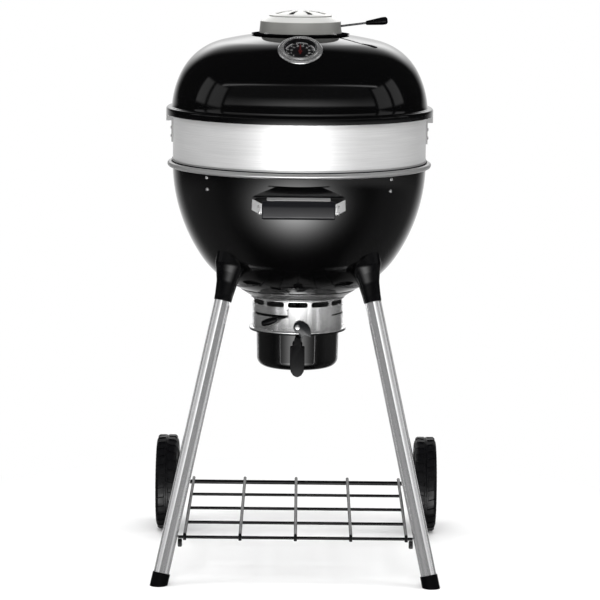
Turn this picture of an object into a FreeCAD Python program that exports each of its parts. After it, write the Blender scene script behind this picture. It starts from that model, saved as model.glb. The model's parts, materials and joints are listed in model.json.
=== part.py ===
import FreeCAD, Part
import math
import os
import Sketcher

# Kettle charcoal grill, millimetres. +Z is up and -Y is the front. The pieces are drawn about
# the kettle's vertical axis, then moved along Y so that the origin lies on the ground at the
# middle of the grill's footprint box.

# --------------------------------------------------------------------------- driving sizes
SIZES = {
    # kettle shells
    "kettle_radius": 285.7,
    "bowl_top_height": 910.0,
    "bowl_side_radius": 382.0,
    "bowl_side_angle": 34.0,
    "bowl_lower_radius": 200.0,
    "bowl_floor_radius": 131.0,
    "enamel_wall": 2.0,
    "band_height": 121.7,
    "band_wall": 1.5,
    "band_flange": 5.5,
    "rim_ring_width": 11.5,
    "rim_ring_height": 13.0,
    "rim_ring_bead": 4.0,
    "rim_ring_lip": 7.0,
    # lid
    "lid_seat_gap": 0.3,
    "lid_side_gap": 1.0,
    "lid_side_radius": 203.6,
    "lid_side_angle": 26.2,
    "lid_shoulder_radius": 137.5,
    "lid_crown_angle": 77.0,
    "lid_lip_width": 12.5,
    "lid_lip_height": 15.0,
    "lid_lip_round": 6.0,
    # lid hinge
    "hinge_offset": 26.3,
    "hinge_drop": 11.7,
    "hinge_knuckle_radius": 8.0,
    "hinge_pin_radius": 4.0,
    "hinge_pin_play": 0.06,
    "hinge_knuckle_length": 25.0,
    "hinge_end_gap": 0.5,
    # top vent
    "vent_plate_radius": 110.0,
    "vent_plate_wall": 1.6,
    "vent_stack_gap": 0.3,
    "vent_cap_radius": 92.6,
    "vent_cap_top_radius": 90.1,
    "vent_cap_wall_height": 26.5,
    "vent_cap_slope_radius": 69.5,
    "vent_cap_slope_height": 12.2,
    "vent_cap_crown_height": 11.0,
    "vent_hole_radius": 17.0,
    "vent_hole_circle": 48.0,
    "damper_radius": 78.0,
    "damper_travel": 45.0,
    "lever_rod_radius": 2.4,
    "lever_rod_reach": 140.0,
    "lever_grip_length": 49.0,
    "lever_grip_radius": 8.0,
    "lever_rise_angle": 7.5,
    # thermometer
    "gauge_distance": 200.0,
    "gauge_tilt": 32.7,
    "gauge_height_drop": 30.5,
    "gauge_radius": 49.5,
    "gauge_case_radius": 35.7,
    "gauge_case_depth": 26.0,
    "gauge_rim_height": 5.0,
    "gauge_probe_length": 60.0,
    # bowl fittings
    "grate_ledge_drop": 18.0,
    "grate_radius": 266.0,
    "grate_rod_radius": 4.0,
    "grate_bar_radius": 2.5,
    "grate_bar_pitch": 15.0,
    "flap_line": 143.0,
    "charcoal_drop": 168.0,
    "charcoal_radius": 226.0,
    "charcoal_bar_pitch": 30.0,
    # front handle
    "grip_half_length": 85.0,
    "grip_height": 40.0,
    "grip_depth": 21.0,
    "grip_middle_drop": 73.0,
    "grip_standoff": 66.3,
    "shield_top_half": 66.0,
    "shield_low_half": 101.0,
    # air and ash system
    "vent_ring_radius": 103.0,
    "vent_ring_wall": 1.5,
    "vent_ring_height": 74.4,
    "vent_ring_flange": 7.0,
    "air_slot_length": 41.0,
    "air_slot_height": 8.6,
    "collar_height": 16.6,
    "blade_travel": 50.0,
    "air_lever_clear": 9.0,
    "air_lever_angle": 14.6,
    "ash_bowl_radius": 93.6,
    "ash_bowl_depth": 86.0,
    "ash_bowl_round": 20.0,
    "ash_bowl_wall": 1.5,
    "gasket_height": 1.5,
    # legs, wheels and shelf
    "leg_foot_spread": 300.0,
    "leg_radius": 17.5,
    "leg_wall": 1.5,
    "leg_mount_angle": 37.5,
    "leg_below_axle": 18.0,
    "socket_radius": 19.5,
    "socket_flare_radius": 32.0,
    "socket_length": 75.0,
    "foot_cap_radius": 19.3,
    "foot_cap_height": 28.0,
    "wheel_radius": 112.4,
    "wheel_width": 51.0,
    "wheel_inner_face": 281.0,
    "wheel_recess": 20.0,
    "wheel_recess_radius": 80.0,
    "axle_radius": 5.0,
    "axle_play": 0.08,
    "shelf_height": 104.0,
    "shelf_rod_radius": 3.5,
    "shelf_rod_spacing": 122.0,
    "shelf_rear_overhang": 6.0,
}

document = FreeCAD.newDocument("kettle_grill")
sheet = document.addObject("Spreadsheet::Sheet", "Sizes")
for row, (alias, number) in enumerate(SIZES.items(), start=1):
    sheet.set(f"A{row}", alias)
    sheet.set(f"B{row}", str(number))
    sheet.setAlias(f"B{row}", alias)
document.recompute()


class Size:
    """A number together with the spreadsheet expression that it comes from."""

    def __init__(self, text, number):
        self.text = text
        self.number = number

    def __add__(self, other):
        return joined(self, "+", other, self.number + as_size(other).number)

    def __radd__(self, other):
        return as_size(other) + self

    def __sub__(self, other):
        return joined(self, "-", other, self.number - as_size(other).number)

    def __rsub__(self, other):
        return as_size(other) - self

    def __mul__(self, other):
        return joined(self, "*", other, self.number * as_size(other).number)

    def __rmul__(self, other):
        return as_size(other) * self

    def __truediv__(self, other):
        return joined(self, "/", other, self.number / as_size(other).number)

    def __neg__(self):
        return as_size(0) - self


def as_size(value):
    return value if isinstance(value, Size) else Size(repr(float(value)), float(value))


def joined(left, sign, right, number):
    return Size(f"({left.text} {sign} {as_size(right).text})", number)


def root(value):
    return Size(f"sqrt({value.text})", math.sqrt(value.number))


def sine(degrees):
    degrees = as_size(degrees)
    return Size(f"sin({degrees.text})", math.sin(math.radians(degrees.number)))


def cosine(degrees):
    degrees = as_size(degrees)
    return Size(f"cos({degrees.text})", math.cos(math.radians(degrees.number)))


def angle_of(rise, run):
    """The angle in degrees whose tangent is rise over run."""
    ratio = rise / run
    return Size(f"(atan({ratio.text}) / 1 deg)", math.degrees(math.atan(ratio.number)))


def size(alias):
    return Size(f"Sizes.{alias}", float(sheet.get(alias)))


def chord(radius, offset):
    """Half the chord that a circle leaves at an offset from its centre."""
    return root(radius * radius - offset * offset)


# --------------------------------------------------------------------------- making helpers
def bind(thing, target, value):
    """Ties a property to the spreadsheet."""
    thing.setExpression(target, as_size(value).text)


def place(thing, at, axis=(0, 0, 1), angle=0.0):
    """Puts a thing at a point, turned by an angle about an axis, all tied to the sheet."""
    numbers = [as_size(part).number for part in at]
    turn = FreeCAD.Rotation(FreeCAD.Vector(*axis), as_size(angle).number)
    thing.Placement = FreeCAD.Placement(FreeCAD.Vector(*numbers), turn)
    for letter, part in zip("xyz", at):
        bind(thing, f"Placement.Base.{letter}", part)
    if isinstance(angle, Size) and abs(angle.number) > 1e-6:
        bind(thing, "Placement.Rotation.Angle", angle)
    return thing


def made(kind, **values):
    """A Part primitive whose sizes are tied to the sheet."""
    thing = document.addObject(f"Part::{kind}", kind)
    for name, value in values.items():
        setattr(thing, name, as_size(value).number)
        bind(thing, name, value)
    return thing


def cylinder(radius, height, at=(0, 0, 0), axis=(0, 0, 1), angle=0.0):
    return place(made("Cylinder", Radius=radius, Height=height), at, axis, angle)


def sector(radius, height, at, start, sweep):
    """A pie slice about a vertical axis, from the start azimuth through the sweep."""
    thing = made("Cylinder", Radius=radius, Height=height, Angle=sweep)
    return place(thing, at, (0, 0, 1), start)


def box(low, high):
    """A box between two corners."""
    spans = [as_size(top) - bottom for bottom, top in zip(low, high)]
    thing = made("Box", Length=spans[0], Width=spans[1], Height=spans[2])
    return place(thing, low)


def cone(low_radius, high_radius, height, at=(0, 0, 0), axis=(0, 0, 1), angle=0.0):
    return place(made("Cone", Radius1=low_radius, Radius2=high_radius, Height=height), at, axis, angle)


def ball(radius, at):
    return place(made("Sphere", Radius=radius), at)


def torus(ring_radius, rod_radius, at):
    return place(made("Torus", Radius1=ring_radius, Radius2=rod_radius), at)


def gathered(things):
    """Several separate solids in one object."""
    group = document.addObject("Part::Compound", "Group")
    group.Links = things
    return group


def fused(things):
    whole = document.addObject("Part::MultiFuse", "Fuse")
    whole.Shapes = things
    return whole


def without(base, tool):
    rest = document.addObject("Part::Cut", "Cut")
    rest.Base = base
    rest.Tool = tool
    return rest


def shared(first, second):
    overlap = document.addObject("Part::Common", "Common")
    overlap.Base = first
    overlap.Tool = second
    return overlap


def mirrored(thing):
    """The same thing on the other side of the kettle's YZ plane."""
    twin = document.addObject("Part::Mirroring", "Mirror")
    twin.Source = thing
    twin.Normal = (1, 0, 0)
    return twin


def turn_box(thing, azimuth):
    """Turns a thing about the kettle's axis by wrapping it in a one-piece group."""
    return place(gathered([thing]), (0, 0, 0), (0, 0, 1), azimuth)


def rod(radius, start, end):
    """A round rod between two points, its ends tied to the sheet."""
    start = [as_size(part) for part in start]
    end = [as_size(part) for part in end]
    run = [b - a for a, b in zip(start, end)]
    flat = root(run[0] * run[0] + run[1] * run[1])
    length = root(run[0] * run[0] + run[1] * run[1] + run[2] * run[2])
    if flat.number < 1e-6:
        tilt = as_size(0.0 if run[2].number > 0 else 180.0)
        axis = (1, 0, 0)
    else:
        steep = angle_of(run[2], flat)
        tilt = 90 - steep
        axis = (-run[1].number, run[0].number, 0)
    return cylinder(radius, length, start, axis, tilt)


def origin_plane(body, role):
    return next(f for f in body.Origin.OriginFeatures if f.Role == role)


def turned(outline):
    """A PartDesign body turned about Z from a closed outline of (radius, height) corners.

    A third value on a corner is the radius of the arc that arrives at it: positive when the
    arc runs anticlockwise in the radius-height plane, negative when it runs clockwise.
    """
    body = document.addObject("PartDesign::Body", "Body")
    sketch = body.newObject("Sketcher::SketchObject", "Outline")
    sketch.AttachmentSupport = [(origin_plane(body, "XZ_Plane"), "")]
    sketch.MapMode = "FlatFace"
    corners = [tuple(as_size(part) for part in corner) for corner in outline]
    starts = []
    for index, corner in enumerate(corners):
        ahead = corners[(index + 1) % len(corners)]
        first = FreeCAD.Vector(corner[0].number, corner[1].number, 0)
        last = FreeCAD.Vector(ahead[0].number, ahead[1].number, 0)
        if len(ahead) == 3:
            starts.append(add_arc(sketch, first, last, ahead[2]))
        else:
            sketch.addGeometry(Part.LineSegment(first, last), False)
            starts.append((1, 2))
    for index, corner in enumerate(corners):
        here = starts[index][0]
        before = (index - 1) % len(corners)
        sketch.addConstraint(Sketcher.Constraint("Coincident", before, starts[before][1], index, here))
        lock_corner(sketch, index, here, corner)
    turn = body.newObject("PartDesign::Revolution", "Turn")
    turn.Profile = sketch
    turn.ReferenceAxis = (sketch, ["V_Axis"])
    turn.Angle = 360.0
    return body


def lock_corner(sketch, line, point, corner):
    """Fixes a corner's radius and height from the axis and the ground."""
    if abs(corner[0].number) < 1e-9:
        sketch.addConstraint(Sketcher.Constraint("PointOnObject", line, point, -2))
    else:
        across = sketch.addConstraint(
            Sketcher.Constraint("DistanceX", -1, 1, line, point, corner[0].number))
        sketch.setExpression(f"Constraints[{across}]", corner[0].text)
    up = sketch.addConstraint(Sketcher.Constraint("DistanceY", -1, 1, line, point, corner[1].number))
    sketch.setExpression(f"Constraints[{up}]", corner[1].text)


def add_arc(sketch, first, last, radius):
    """Adds the short arc from first to last and returns its (start, end) point numbers."""
    reach = abs(radius.number)
    span = last - first
    middle = (first + last) * 0.5
    left = FreeCAD.Vector(-span.y, span.x, 0).normalize()
    back = math.sqrt(reach ** 2 - (span.Length / 2) ** 2)
    counter = radius.number > 0
    centre = middle + left * (back if counter else -back)
    begin, finish = (first, last) if counter else (last, first)
    start = math.atan2(begin.y - centre.y, begin.x - centre.x)
    end = math.atan2(finish.y - centre.y, finish.x - centre.x)
    circle = Part.Circle(centre, FreeCAD.Vector(0, 0, 1), reach)
    line = sketch.addGeometry(Part.ArcOfCircle(circle, start, end), False)
    bend = sketch.addConstraint(Sketcher.Constraint("Radius", line, reach))
    sketch.setExpression(f"Constraints[{bend}]", radius.text if counter else (-radius).text)
    return (1, 2) if counter else (2, 1)


def plate(corners, thickness, plane, at=(0, 0, 0)):
    """A PartDesign pad of a polygon on an origin plane, symmetric about that plane."""
    body = document.addObject("PartDesign::Body", "Body")
    sketch = body.newObject("Sketcher::SketchObject", "Outline")
    sketch.AttachmentSupport = [(origin_plane(body, plane), "")]
    sketch.MapMode = "FlatFace"
    corners = [tuple(as_size(part) for part in corner) for corner in corners]
    count = len(corners)
    for index, corner in enumerate(corners):
        ahead = corners[(index + 1) % count]
        first = FreeCAD.Vector(corner[0].number, corner[1].number, 0)
        last = FreeCAD.Vector(ahead[0].number, ahead[1].number, 0)
        sketch.addGeometry(Part.LineSegment(first, last), False)
    for index, corner in enumerate(corners):
        sketch.addConstraint(Sketcher.Constraint("Coincident", (index - 1) % count, 2, index, 1))
        lock_corner(sketch, index, 1, corner)
    pad = body.newObject("PartDesign::Pad", "Pad")
    pad.Profile = sketch
    pad.Midplane = True
    pad.Length = as_size(thickness).number
    bind(pad, "Length", thickness)
    return place(body, at)


FINISHED = {}


def node(label, thing):
    """Keeps a finished sub-part under its name."""
    FINISHED[label] = thing


def around(azimuth, distance, height):
    """The point at an azimuth, a distance from the kettle's axis and a height."""
    return (distance * cosine(azimuth), distance * sine(azimuth), as_size(height))


def radial_screw(azimuth, seat, height, shank, head_radius=3.8, head_height=2.6, shank_radius=2.2):
    """A screw on a radius of the kettle: its head outside the seat and its shank inward."""
    axis = (-math.sin(math.radians(azimuth)), math.cos(math.radians(azimuth)), 0)
    head = cylinder(head_radius, head_height, around(azimuth, seat, height), axis, 90.0)
    stem = cylinder(shank_radius, shank + 0.2, around(azimuth, seat - shank, height), axis, 90.0)
    return fused([head, stem])


def radial_hole(azimuth, seat, height, shank, radius=2.3):
    axis = (-math.sin(math.radians(azimuth)), math.cos(math.radians(azimuth)), 0)
    return cylinder(radius, shank + 8, around(azimuth, seat - shank - 4, height), axis, 90.0)


# --------------------------------------------------------------------------- shared geometry
radius = size("kettle_radius")
wall = size("enamel_wall")
bowl_top = size("bowl_top_height")
band_top = bowl_top + size("band_height")

side = size("bowl_side_radius")
lower = size("bowl_lower_radius")
side_angle = size("bowl_side_angle")
side_centre = (radius - side, bowl_top)
bend = (side_centre[0] + side * cosine(side_angle), bowl_top - side * sine(side_angle))
lower_centre = (side_centre[0] + (side - lower) * cosine(side_angle),
                bowl_top - (side - lower) * sine(side_angle))
floor_radius = size("bowl_floor_radius")
floor_height = lower_centre[1] - chord(lower, floor_radius - lower_centre[0])

lid_seat = band_top + size("lid_seat_gap")
lid_outer = radius - size("band_wall") + wall + size("lid_side_gap") + 1.1
lid_side = size("lid_side_radius")
lid_angle = size("lid_side_angle")
shoulder = size("lid_shoulder_radius")
crown_angle = size("lid_crown_angle")
lid_base = lid_seat - 12
lid_centre = (lid_outer - lid_side, lid_base)
lid_bend = (lid_centre[0] + lid_side * cosine(lid_angle), lid_base + lid_side * sine(lid_angle))
shoulder_centre = (lid_centre[0] + (lid_side - shoulder) * cosine(lid_angle),
                   lid_base + (lid_side - shoulder) * sine(lid_angle))
crown_edge = (shoulder_centre[0] + shoulder * cosine(crown_angle),
              shoulder_centre[1] + shoulder * sine(crown_angle))
crown = crown_edge[0] / cosine(crown_angle)
crown_centre = crown_edge[1] - crown * sine(crown_angle)
lid_top = crown_centre + crown


def bowl_radius_at(height, inset=0.0):
    """The bowl's radius at a height on its side arc, less an inset."""
    return side_centre[0] + chord(side - inset, bowl_top - height)


def crown_height_at(distance, rise=0.0):
    """The height of a surface a rise above the lid's crown, at a distance from the axis."""
    return crown_centre + chord(crown + rise, as_size(distance))


def bowl_outline(inset, floor_drop, top):
    """The bowl's side and lower arcs as a filled outline, moved inward by an inset."""
    corner = floor_radius - floor_drop
    return [
        (0, floor_height + inset),
        (corner, floor_height + inset),
        (side_centre[0] + (side - inset) * cosine(side_angle),
         bowl_top - (side - inset) * sine(side_angle), lower - inset),
        (radius - inset, bowl_top, side - inset),
        (radius - inset, top),
        (0, top),
    ]


def inner_floor_drop():
    """How much nearer the axis the inside floor ends than the outside floor."""
    inner = lower_centre[0] + chord(lower - wall, lower_centre[1] - floor_height - wall)
    return floor_radius - inner


bowl_form = turned(bowl_outline(as_size(0.0), as_size(0.0), bowl_top + 0.001))
bowl_hollow = turned(bowl_outline(wall, inner_floor_drop(), bowl_top + 5))


def lid_outline(inset):
    """The lid's dome as a filled outline, moved inward by an inset."""
    low = lid_seat + 4
    return [
        (0, low - 4),
        (lid_centre[0] + chord(lid_side - inset, low - lid_base), low - 4),
        (lid_centre[0] + chord(lid_side - inset, low - lid_base), low),
        (lid_bend[0] - inset * cosine(lid_angle), lid_bend[1] - inset * sine(lid_angle), lid_side - inset),
        (crown_edge[0] - inset * cosine(crown_angle),
         crown_edge[1] - inset * sine(crown_angle), shoulder - inset),
        (0, lid_top - inset, crown - inset),
    ]


lid_form = turned(lid_outline(as_size(0.0)))
lid_hollow = turned(lid_outline(wall))


# --------------------------------------------------------------------------- kettle
BRACKET_AZIMUTHS = (45.0, 135.0, 225.0, 315.0)
VENT_SECTORS = (90.0, 210.0, 330.0)
ledge = bowl_top - size("grate_ledge_drop")
upper_screw = ledge + 0.5
lower_screw = ledge - 25.5


def grate_screw_places():
    return [(azimuth, height) for azimuth in BRACKET_AZIMUTHS for height in (lower_screw, upper_screw)]


def make_bowl():
    air_holes = []
    for azimuth in VENT_SECTORS:
        slice_ = sector(92.0, 6.0, (0, 0, floor_height - 1), azimuth - 22.0, 44.0)
        core = cylinder(32.0, 8.0, (0, 0, floor_height - 2))
        air_holes.append(without(slice_, core))
    shaft_hole = cylinder(5.0 + 0.1, 8.0, (0, 0, floor_height - 2))
    screw_holes = [radial_hole(azimuth, bowl_radius_at(height), height, 6.0)
                   for azimuth, height in grate_screw_places()]
    shell = without(bowl_form, bowl_hollow)
    node("bowl", without(shell, gathered(air_holes + [shaft_hole] + screw_holes)))


def make_rim_ring():
    inner = radius + 0.1
    outer = radius + size("rim_ring_width")
    low = bowl_top - size("rim_ring_height")
    high = bowl_top + size("rim_ring_lip")
    bead = size("rim_ring_bead")
    body = turned([
        (inner, low),
        (outer - bead, low),
        (outer, low + bead, bead),
        (outer, low + bead + 2),
        (outer - bead, low + 2 * bead + 2, bead),
        (inner + 2, low + 2 * bead + 3),
        (inner + 2, high),
        (inner, high),
    ])
    node("bowl_rim_ring", body)


def make_band():
    outer = radius - 0.7
    inner = outer - size("band_wall")
    flange = outer + size("band_flange")
    body = turned([
        (inner, bowl_top + 0.05),
        (outer, bowl_top + 0.05),
        (outer, band_top - size("band_wall")),
        (flange, band_top - size("band_wall")),
        (flange, band_top),
        (inner, band_top),
    ])
    node("steel_band", body)


def make_spit_brackets():
    face = radius - 0.7
    brackets = []
    screws = []
    for mark in (1, -1):
        plate_box = box((face - 4, -22, band_top - 78), (face + 3, 22, band_top - 16))
        tab = box((face - 4, -22, band_top - 30), (face + 14.5, 22, band_top - 15.5))
        form = without(fused([plate_box, tab]), cylinder(face, 120, (0, 0, band_top - 110)))
        place(form, (0, 0, 0), (0, 0, 1), 0.0 if mark > 0 else 180.0)
        brackets.append(form)
        azimuth = 0.0 if mark > 0 else 180.0
        for drop in (47.0, 66.0):
            screws.append(radial_screw(azimuth, face + 3, band_top - drop, 0.0, head_height=2.2))
    node("spit_brackets", gathered(brackets))
    return screws


def make_grate_brackets(extra_screws):
    brackets = []
    for azimuth in BRACKET_AZIMUTHS:
        post = box((radius - 26, -9, ledge - 40), (radius + 4, 9, ledge + 14))
        notch = box((radius - 30, -12, ledge), (radius - 6.5, 12, ledge + 30))
        relief = box((radius - 30, -6.5, ledge - 60), (radius - 7.5, 6.5, ledge - 3))
        bracket = shared(without(post, gathered([notch, relief])), bowl_hollow)
        brackets.append(place(bracket, (0, 0, 0), (0, 0, 1), azimuth))
    node("grate_brackets", gathered(brackets))
    screws = [radial_screw(azimuth, bowl_radius_at(height) + 0.4, height, wall - 0.1)
              for azimuth, height in grate_screw_places()]
    node("bowl_screws", gathered(screws + extra_screws))


def grate_bars(reach, pitch, bar, height, span):
    """Parallel bars along Y inside a circle, between two X limits."""
    bars = []
    low, high = span
    count = int((high - low) / pitch.number)
    first = (low + high) / 2 - (count - 1) / 2 * pitch.number
    for index in range(count):
        x = as_size(first + index * pitch.number)
        half = chord(reach, x)
        bars.append(rod(bar, (x, -half, height), (x, half, height)))
    return bars


def make_charcoal_grate():
    reach = size("charcoal_radius")
    bar = as_size(3.0)
    height = bowl_top - size("charcoal_drop")
    hoop = torus(reach, 3.5, (0, 0, height))
    bars = grate_bars(reach, size("charcoal_bar_pitch"), bar, height, (-reach.number, reach.number))
    ties = [rod(bar, (-chord(reach, y), y, height - 5), (chord(reach, y), y, height - 5))
            for y in (as_size(-110.0), as_size(110.0))]
    node("charcoal_grate", fused([hoop] + bars + ties))
    tabs = []
    for azimuth in (22.5, 112.5, 202.5, 292.5):
        block = box((reach - 9, -12, height - 6.8), (reach + 60, 12, height - 3.8))
        tabs.append(place(shared(block, bowl_hollow), (0, 0, 0), (0, 0, 1), azimuth))
    node("charcoal_grate_tabs", gathered(tabs))


def make_cooking_grate():
    reach = size("grate_radius")
    thick = size("grate_rod_radius")
    bar = size("grate_bar_radius")
    pitch = size("grate_bar_pitch")
    height = ledge + thick + 0.3
    line = size("flap_line")
    hinge = as_size(3.0)
    window = box((-line, -400, height - 20), (line, 400, height + 20))
    hoop = shared(torus(reach, thick, (0, 0, height)), window)
    hinge_rods = [rod(hinge, (mark * line, -chord(reach, line) - 2, height),
                      (mark * line, chord(reach, line) + 2, height)) for mark in (1, -1)]
    limit = line.number - 10
    bars = grate_bars(reach, pitch, bar, height, (-limit, limit))
    ties = [rod(bar, (-line, y, height - bar), (line, y, height - bar))
            for y in (as_size(-150.0), as_size(-50.0), as_size(50.0), as_size(150.0))]
    node("cooking_grate", fused([hoop] + hinge_rods + bars + ties))
    for name, mark in (("right", 1), ("left", -1)):
        make_flap(name, mark, reach, thick, bar, height, line, hinge)


def make_flap(name, mark, reach, thick, bar, height, line, hinge):
    """A side wing of the cooking grate with two knuckles on the grate's hinge rod."""
    edge = line + 13
    far = reach + 20
    if mark > 0:
        window = box((edge, -400, height - 20), (far, 400, height + 20))
    else:
        window = box((-far, -400, height - 20), (-edge, 400, height + 20))
    hoop = shared(torus(reach, thick, (0, 0, height)), window)
    half_chord = chord(reach, edge)
    chord_bar = rod(thick - 1, (mark * edge, -half_chord, height), (mark * edge, half_chord, height))
    bars = [rod(bar, (mark * x, -chord(reach, x), height), (mark * x, chord(reach, x), height))
            for x in (edge + 16 * step for step in range(1, 6))]
    ties = [rod(bar, (mark * edge, y, height), (mark * chord(reach, as_size(y)), y, height))
            for y in (-100, 0, 100)]
    knuckles = []
    for y in (-100, 100):
        arm = rod(bar, (mark * (line + 4.5), y, height), (mark * edge, y, height))
        tube = rod(hinge + 2.4, (mark * line, y - 6, height), (mark * line, y + 6, height))
        knuckles += [arm, tube]
    bore = rod(hinge + 0.08, (mark * line, -400, height), (mark * line, 400, height))
    node(f"grate_flap_{name}", without(fused([hoop, chord_bar] + bars + ties + knuckles), bore))


# --------------------------------------------------------------------------- front handle
def make_front_handle():
    half = size("grip_half_length")
    middle = bowl_top - size("grip_middle_drop")
    tall = size("grip_height")
    deep = size("grip_depth")
    front = -(radius + size("grip_standoff"))
    block = box((-half, front, middle - tall / 2), (half, front + deep, middle + tall / 2))
    rounded = document.addObject("Part::Fillet", "Fillet")
    rounded.Base = block
    document.recompute()
    edges = []
    for index, edge in enumerate(block.Shape.Edges, start=1):
        ends = [vertex.Point for vertex in edge.Vertexes]
        if abs(ends[0].x - ends[1].x) > 1:
            edges.append((index, 7.0, 7.0))
    rounded.Edges = edges
    node("handle_grip", rounded)
    arms = []
    for mark in (1, -1):
        blade = plate(
            [(half + 0.3, -front - 5), (half + 2.8, -front - 5), (half + 35.3, 200), (half + 32.8, 200)],
            24.0, "XY_Plane")
        place(blade, (0, 0, middle + 3.5), (1, 0, 0), 180.0)
        if mark < 0:
            place(blade, (0, 0, middle + 3.5), (0, 0, 1), 180.0)
        arms.append(without(blade, bowl_form))
    node("handle_brackets", gathered(arms))
    screws = []
    for mark in (1, -1):
        for rise in (-5.0, 9.0):
            screws.append(rod(3.5, (mark * (half + 4.8), front + 10, middle + rise),
                              (mark * (half + 7.0), front + 10, middle + rise)))
    node("handle_screws", gathered(screws))
    make_heat_shield(front, middle)


def make_heat_shield(front, middle):
    """A sloped plate from under the rim ring out to the top of the grip."""
    top_half = size("shield_top_half")
    low_half = size("shield_low_half")
    high = bowl_top - 17.5
    low = middle + size("grip_height") / 2 + 9
    outer = -front - 14
    inner = radius - 6
    slope = angle_of(high - low, outer - inner)
    length = root((high - low) * (high - low) + (outer - inner) * (outer - inner))
    left = plate([(0, 0), (top_half, 0), (low_half, length), (0, length)], 1.6, "XY_Plane")
    place(left, (0, -inner, high), (1, 0, 0), slope - 180)
    node("handle_heat_shield", without(fused([left, mirrored(left)]), bowl_form))


# --------------------------------------------------------------------------- air and ash system
ring_radius = size("vent_ring_radius")
ring_wall = size("vent_ring_wall")
ring_top = floor_height - 0.2 - size("collar_height")
ring_low = ring_top - size("vent_ring_height")
lever_height = ring_low + 43


def make_collar():
    high = floor_height - 0.1
    body = turned([
        (ring_radius - ring_wall, ring_top + 0.1),
        (ring_radius + 4, ring_top + 0.1),
        (floor_radius, high - 1.4),
        (floor_radius, high),
        (floor_radius - 8, high),
        (ring_radius - ring_wall, ring_top + 3.5),
    ])
    node("bowl_collar", body)


def air_slot(azimuth, height, length, tall):
    """A rounded slot through the ring's wall."""
    flat = length / 2 - tall / 2
    middle = box((ring_radius - 12, -flat, height - tall / 2), (ring_radius + 8, flat, height + tall / 2))
    ends = [cylinder(tall / 2, 20, (ring_radius - 12, mark * flat, height), (0, 1, 0), 90.0)
            for mark in (1, -1)]
    return place(fused([middle] + ends), (0, 0, 0), (0, 0, 1), azimuth)


def make_vent_ring():
    bead = ring_radius + 3.8
    flange = ring_radius + size("vent_ring_flange")
    inner = ring_radius - ring_wall
    tube = turned([
        (inner, ring_low),
        (flange, ring_low),
        (flange, ring_low + 2.5),
        (ring_radius, ring_low + 3.5),
        (ring_radius, ring_top - 4.5),
        (bead, ring_top - 3.5),
        (bead, ring_top),
        (inner, ring_top),
    ])
    slots = [air_slot(-90.0 + 30.0 * step, ring_top - 10.5,
                      size("air_slot_length"), size("air_slot_height"))
             for step in range(12)]
    angle = size("air_lever_angle")
    lever_slit = sector(ring_radius + 2, 6.4, (0, 0, lever_height - 3.2),
                        -90 - angle - size("blade_travel") - 3, size("blade_travel") + 6)
    guide_slit = sector(ring_radius + 2, 4.0, (0, 0, lever_height - 2), -41.0, 34.0)
    pivot_hole = rod(3.1, (0, -ring_radius - 5, ring_low + 16), (0, -ring_radius + 6, ring_low + 16))
    node("vent_ring", without(tube, gathered(slots + [lever_slit, guide_slit, pivot_hole])))


def make_sweeper():
    plate_low = floor_height + wall + 0.4
    blades = [sector(96.0, 1.5, (0, 0, plate_low), azimuth - 25.0, 50.0) for azimuth in VENT_SECTORS]
    hub = cylinder(18.0, 7.0, (0, 0, plate_low))
    bore = cylinder(5.0, 20.0, (0, 0, plate_low - 5))
    node("sweeper_blades", without(fused(blades + [hub]), bore))
    angle = size("air_lever_angle")
    reach = ring_radius + size("air_lever_clear")
    shaft = cylinder(5.0, plate_low + 9 - lever_height, (0, 0, lever_height))
    elbow_ball = ball(5.0, (0, 0, lever_height))
    start = as_size(-90.0) - angle
    corner = around(start, reach, lever_height)
    knob_start = around(start - 10, reach + 5, lever_height - 6)
    knob_end = around(start - 28, reach + 12, lever_height - 20)
    arm = rod(2.5, (0, 0, lever_height), corner)
    bend_ball = ball(2.5, corner)
    tail = rod(2.5, corner, knob_start)
    node("air_lever", fused([shaft, elbow_ball, arm, bend_ball, tail]))
    grip = rod(7.5, knob_start, knob_end)
    node("air_lever_knob", without(fused([grip, ball(7.5, knob_end)]), rod(2.5, corner, knob_start)))


def make_ash_bowl():
    gasket = size("gasket_height")
    flange = ring_radius + size("vent_ring_flange") - 0.5
    outer = size("ash_bowl_radius")
    shell = size("ash_bowl_wall")
    bend_radius = size("ash_bowl_round")
    top = ring_low - gasket - 0.5
    low = top - size("ash_bowl_depth")
    node("ash_gasket", turned([
        (ring_radius - ring_wall - 3, ring_low - gasket - 0.1),
        (flange, ring_low - gasket - 0.1),
        (flange, ring_low - 0.1),
        (ring_radius - ring_wall - 3, ring_low - 0.1),
    ]))
    foot = outer - 2
    node("ash_bowl", turned([
        (0, low),
        (foot - bend_radius, low),
        (foot, low + bend_radius, bend_radius),
        (outer, top - 1.5),
        (flange, top - 1.5),
        (flange, top),
        (outer - shell, top),
        (foot - shell, low + bend_radius),
        (foot - bend_radius, low + shell, -(bend_radius - shell)),
        (0, low + shell),
    ]))


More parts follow.
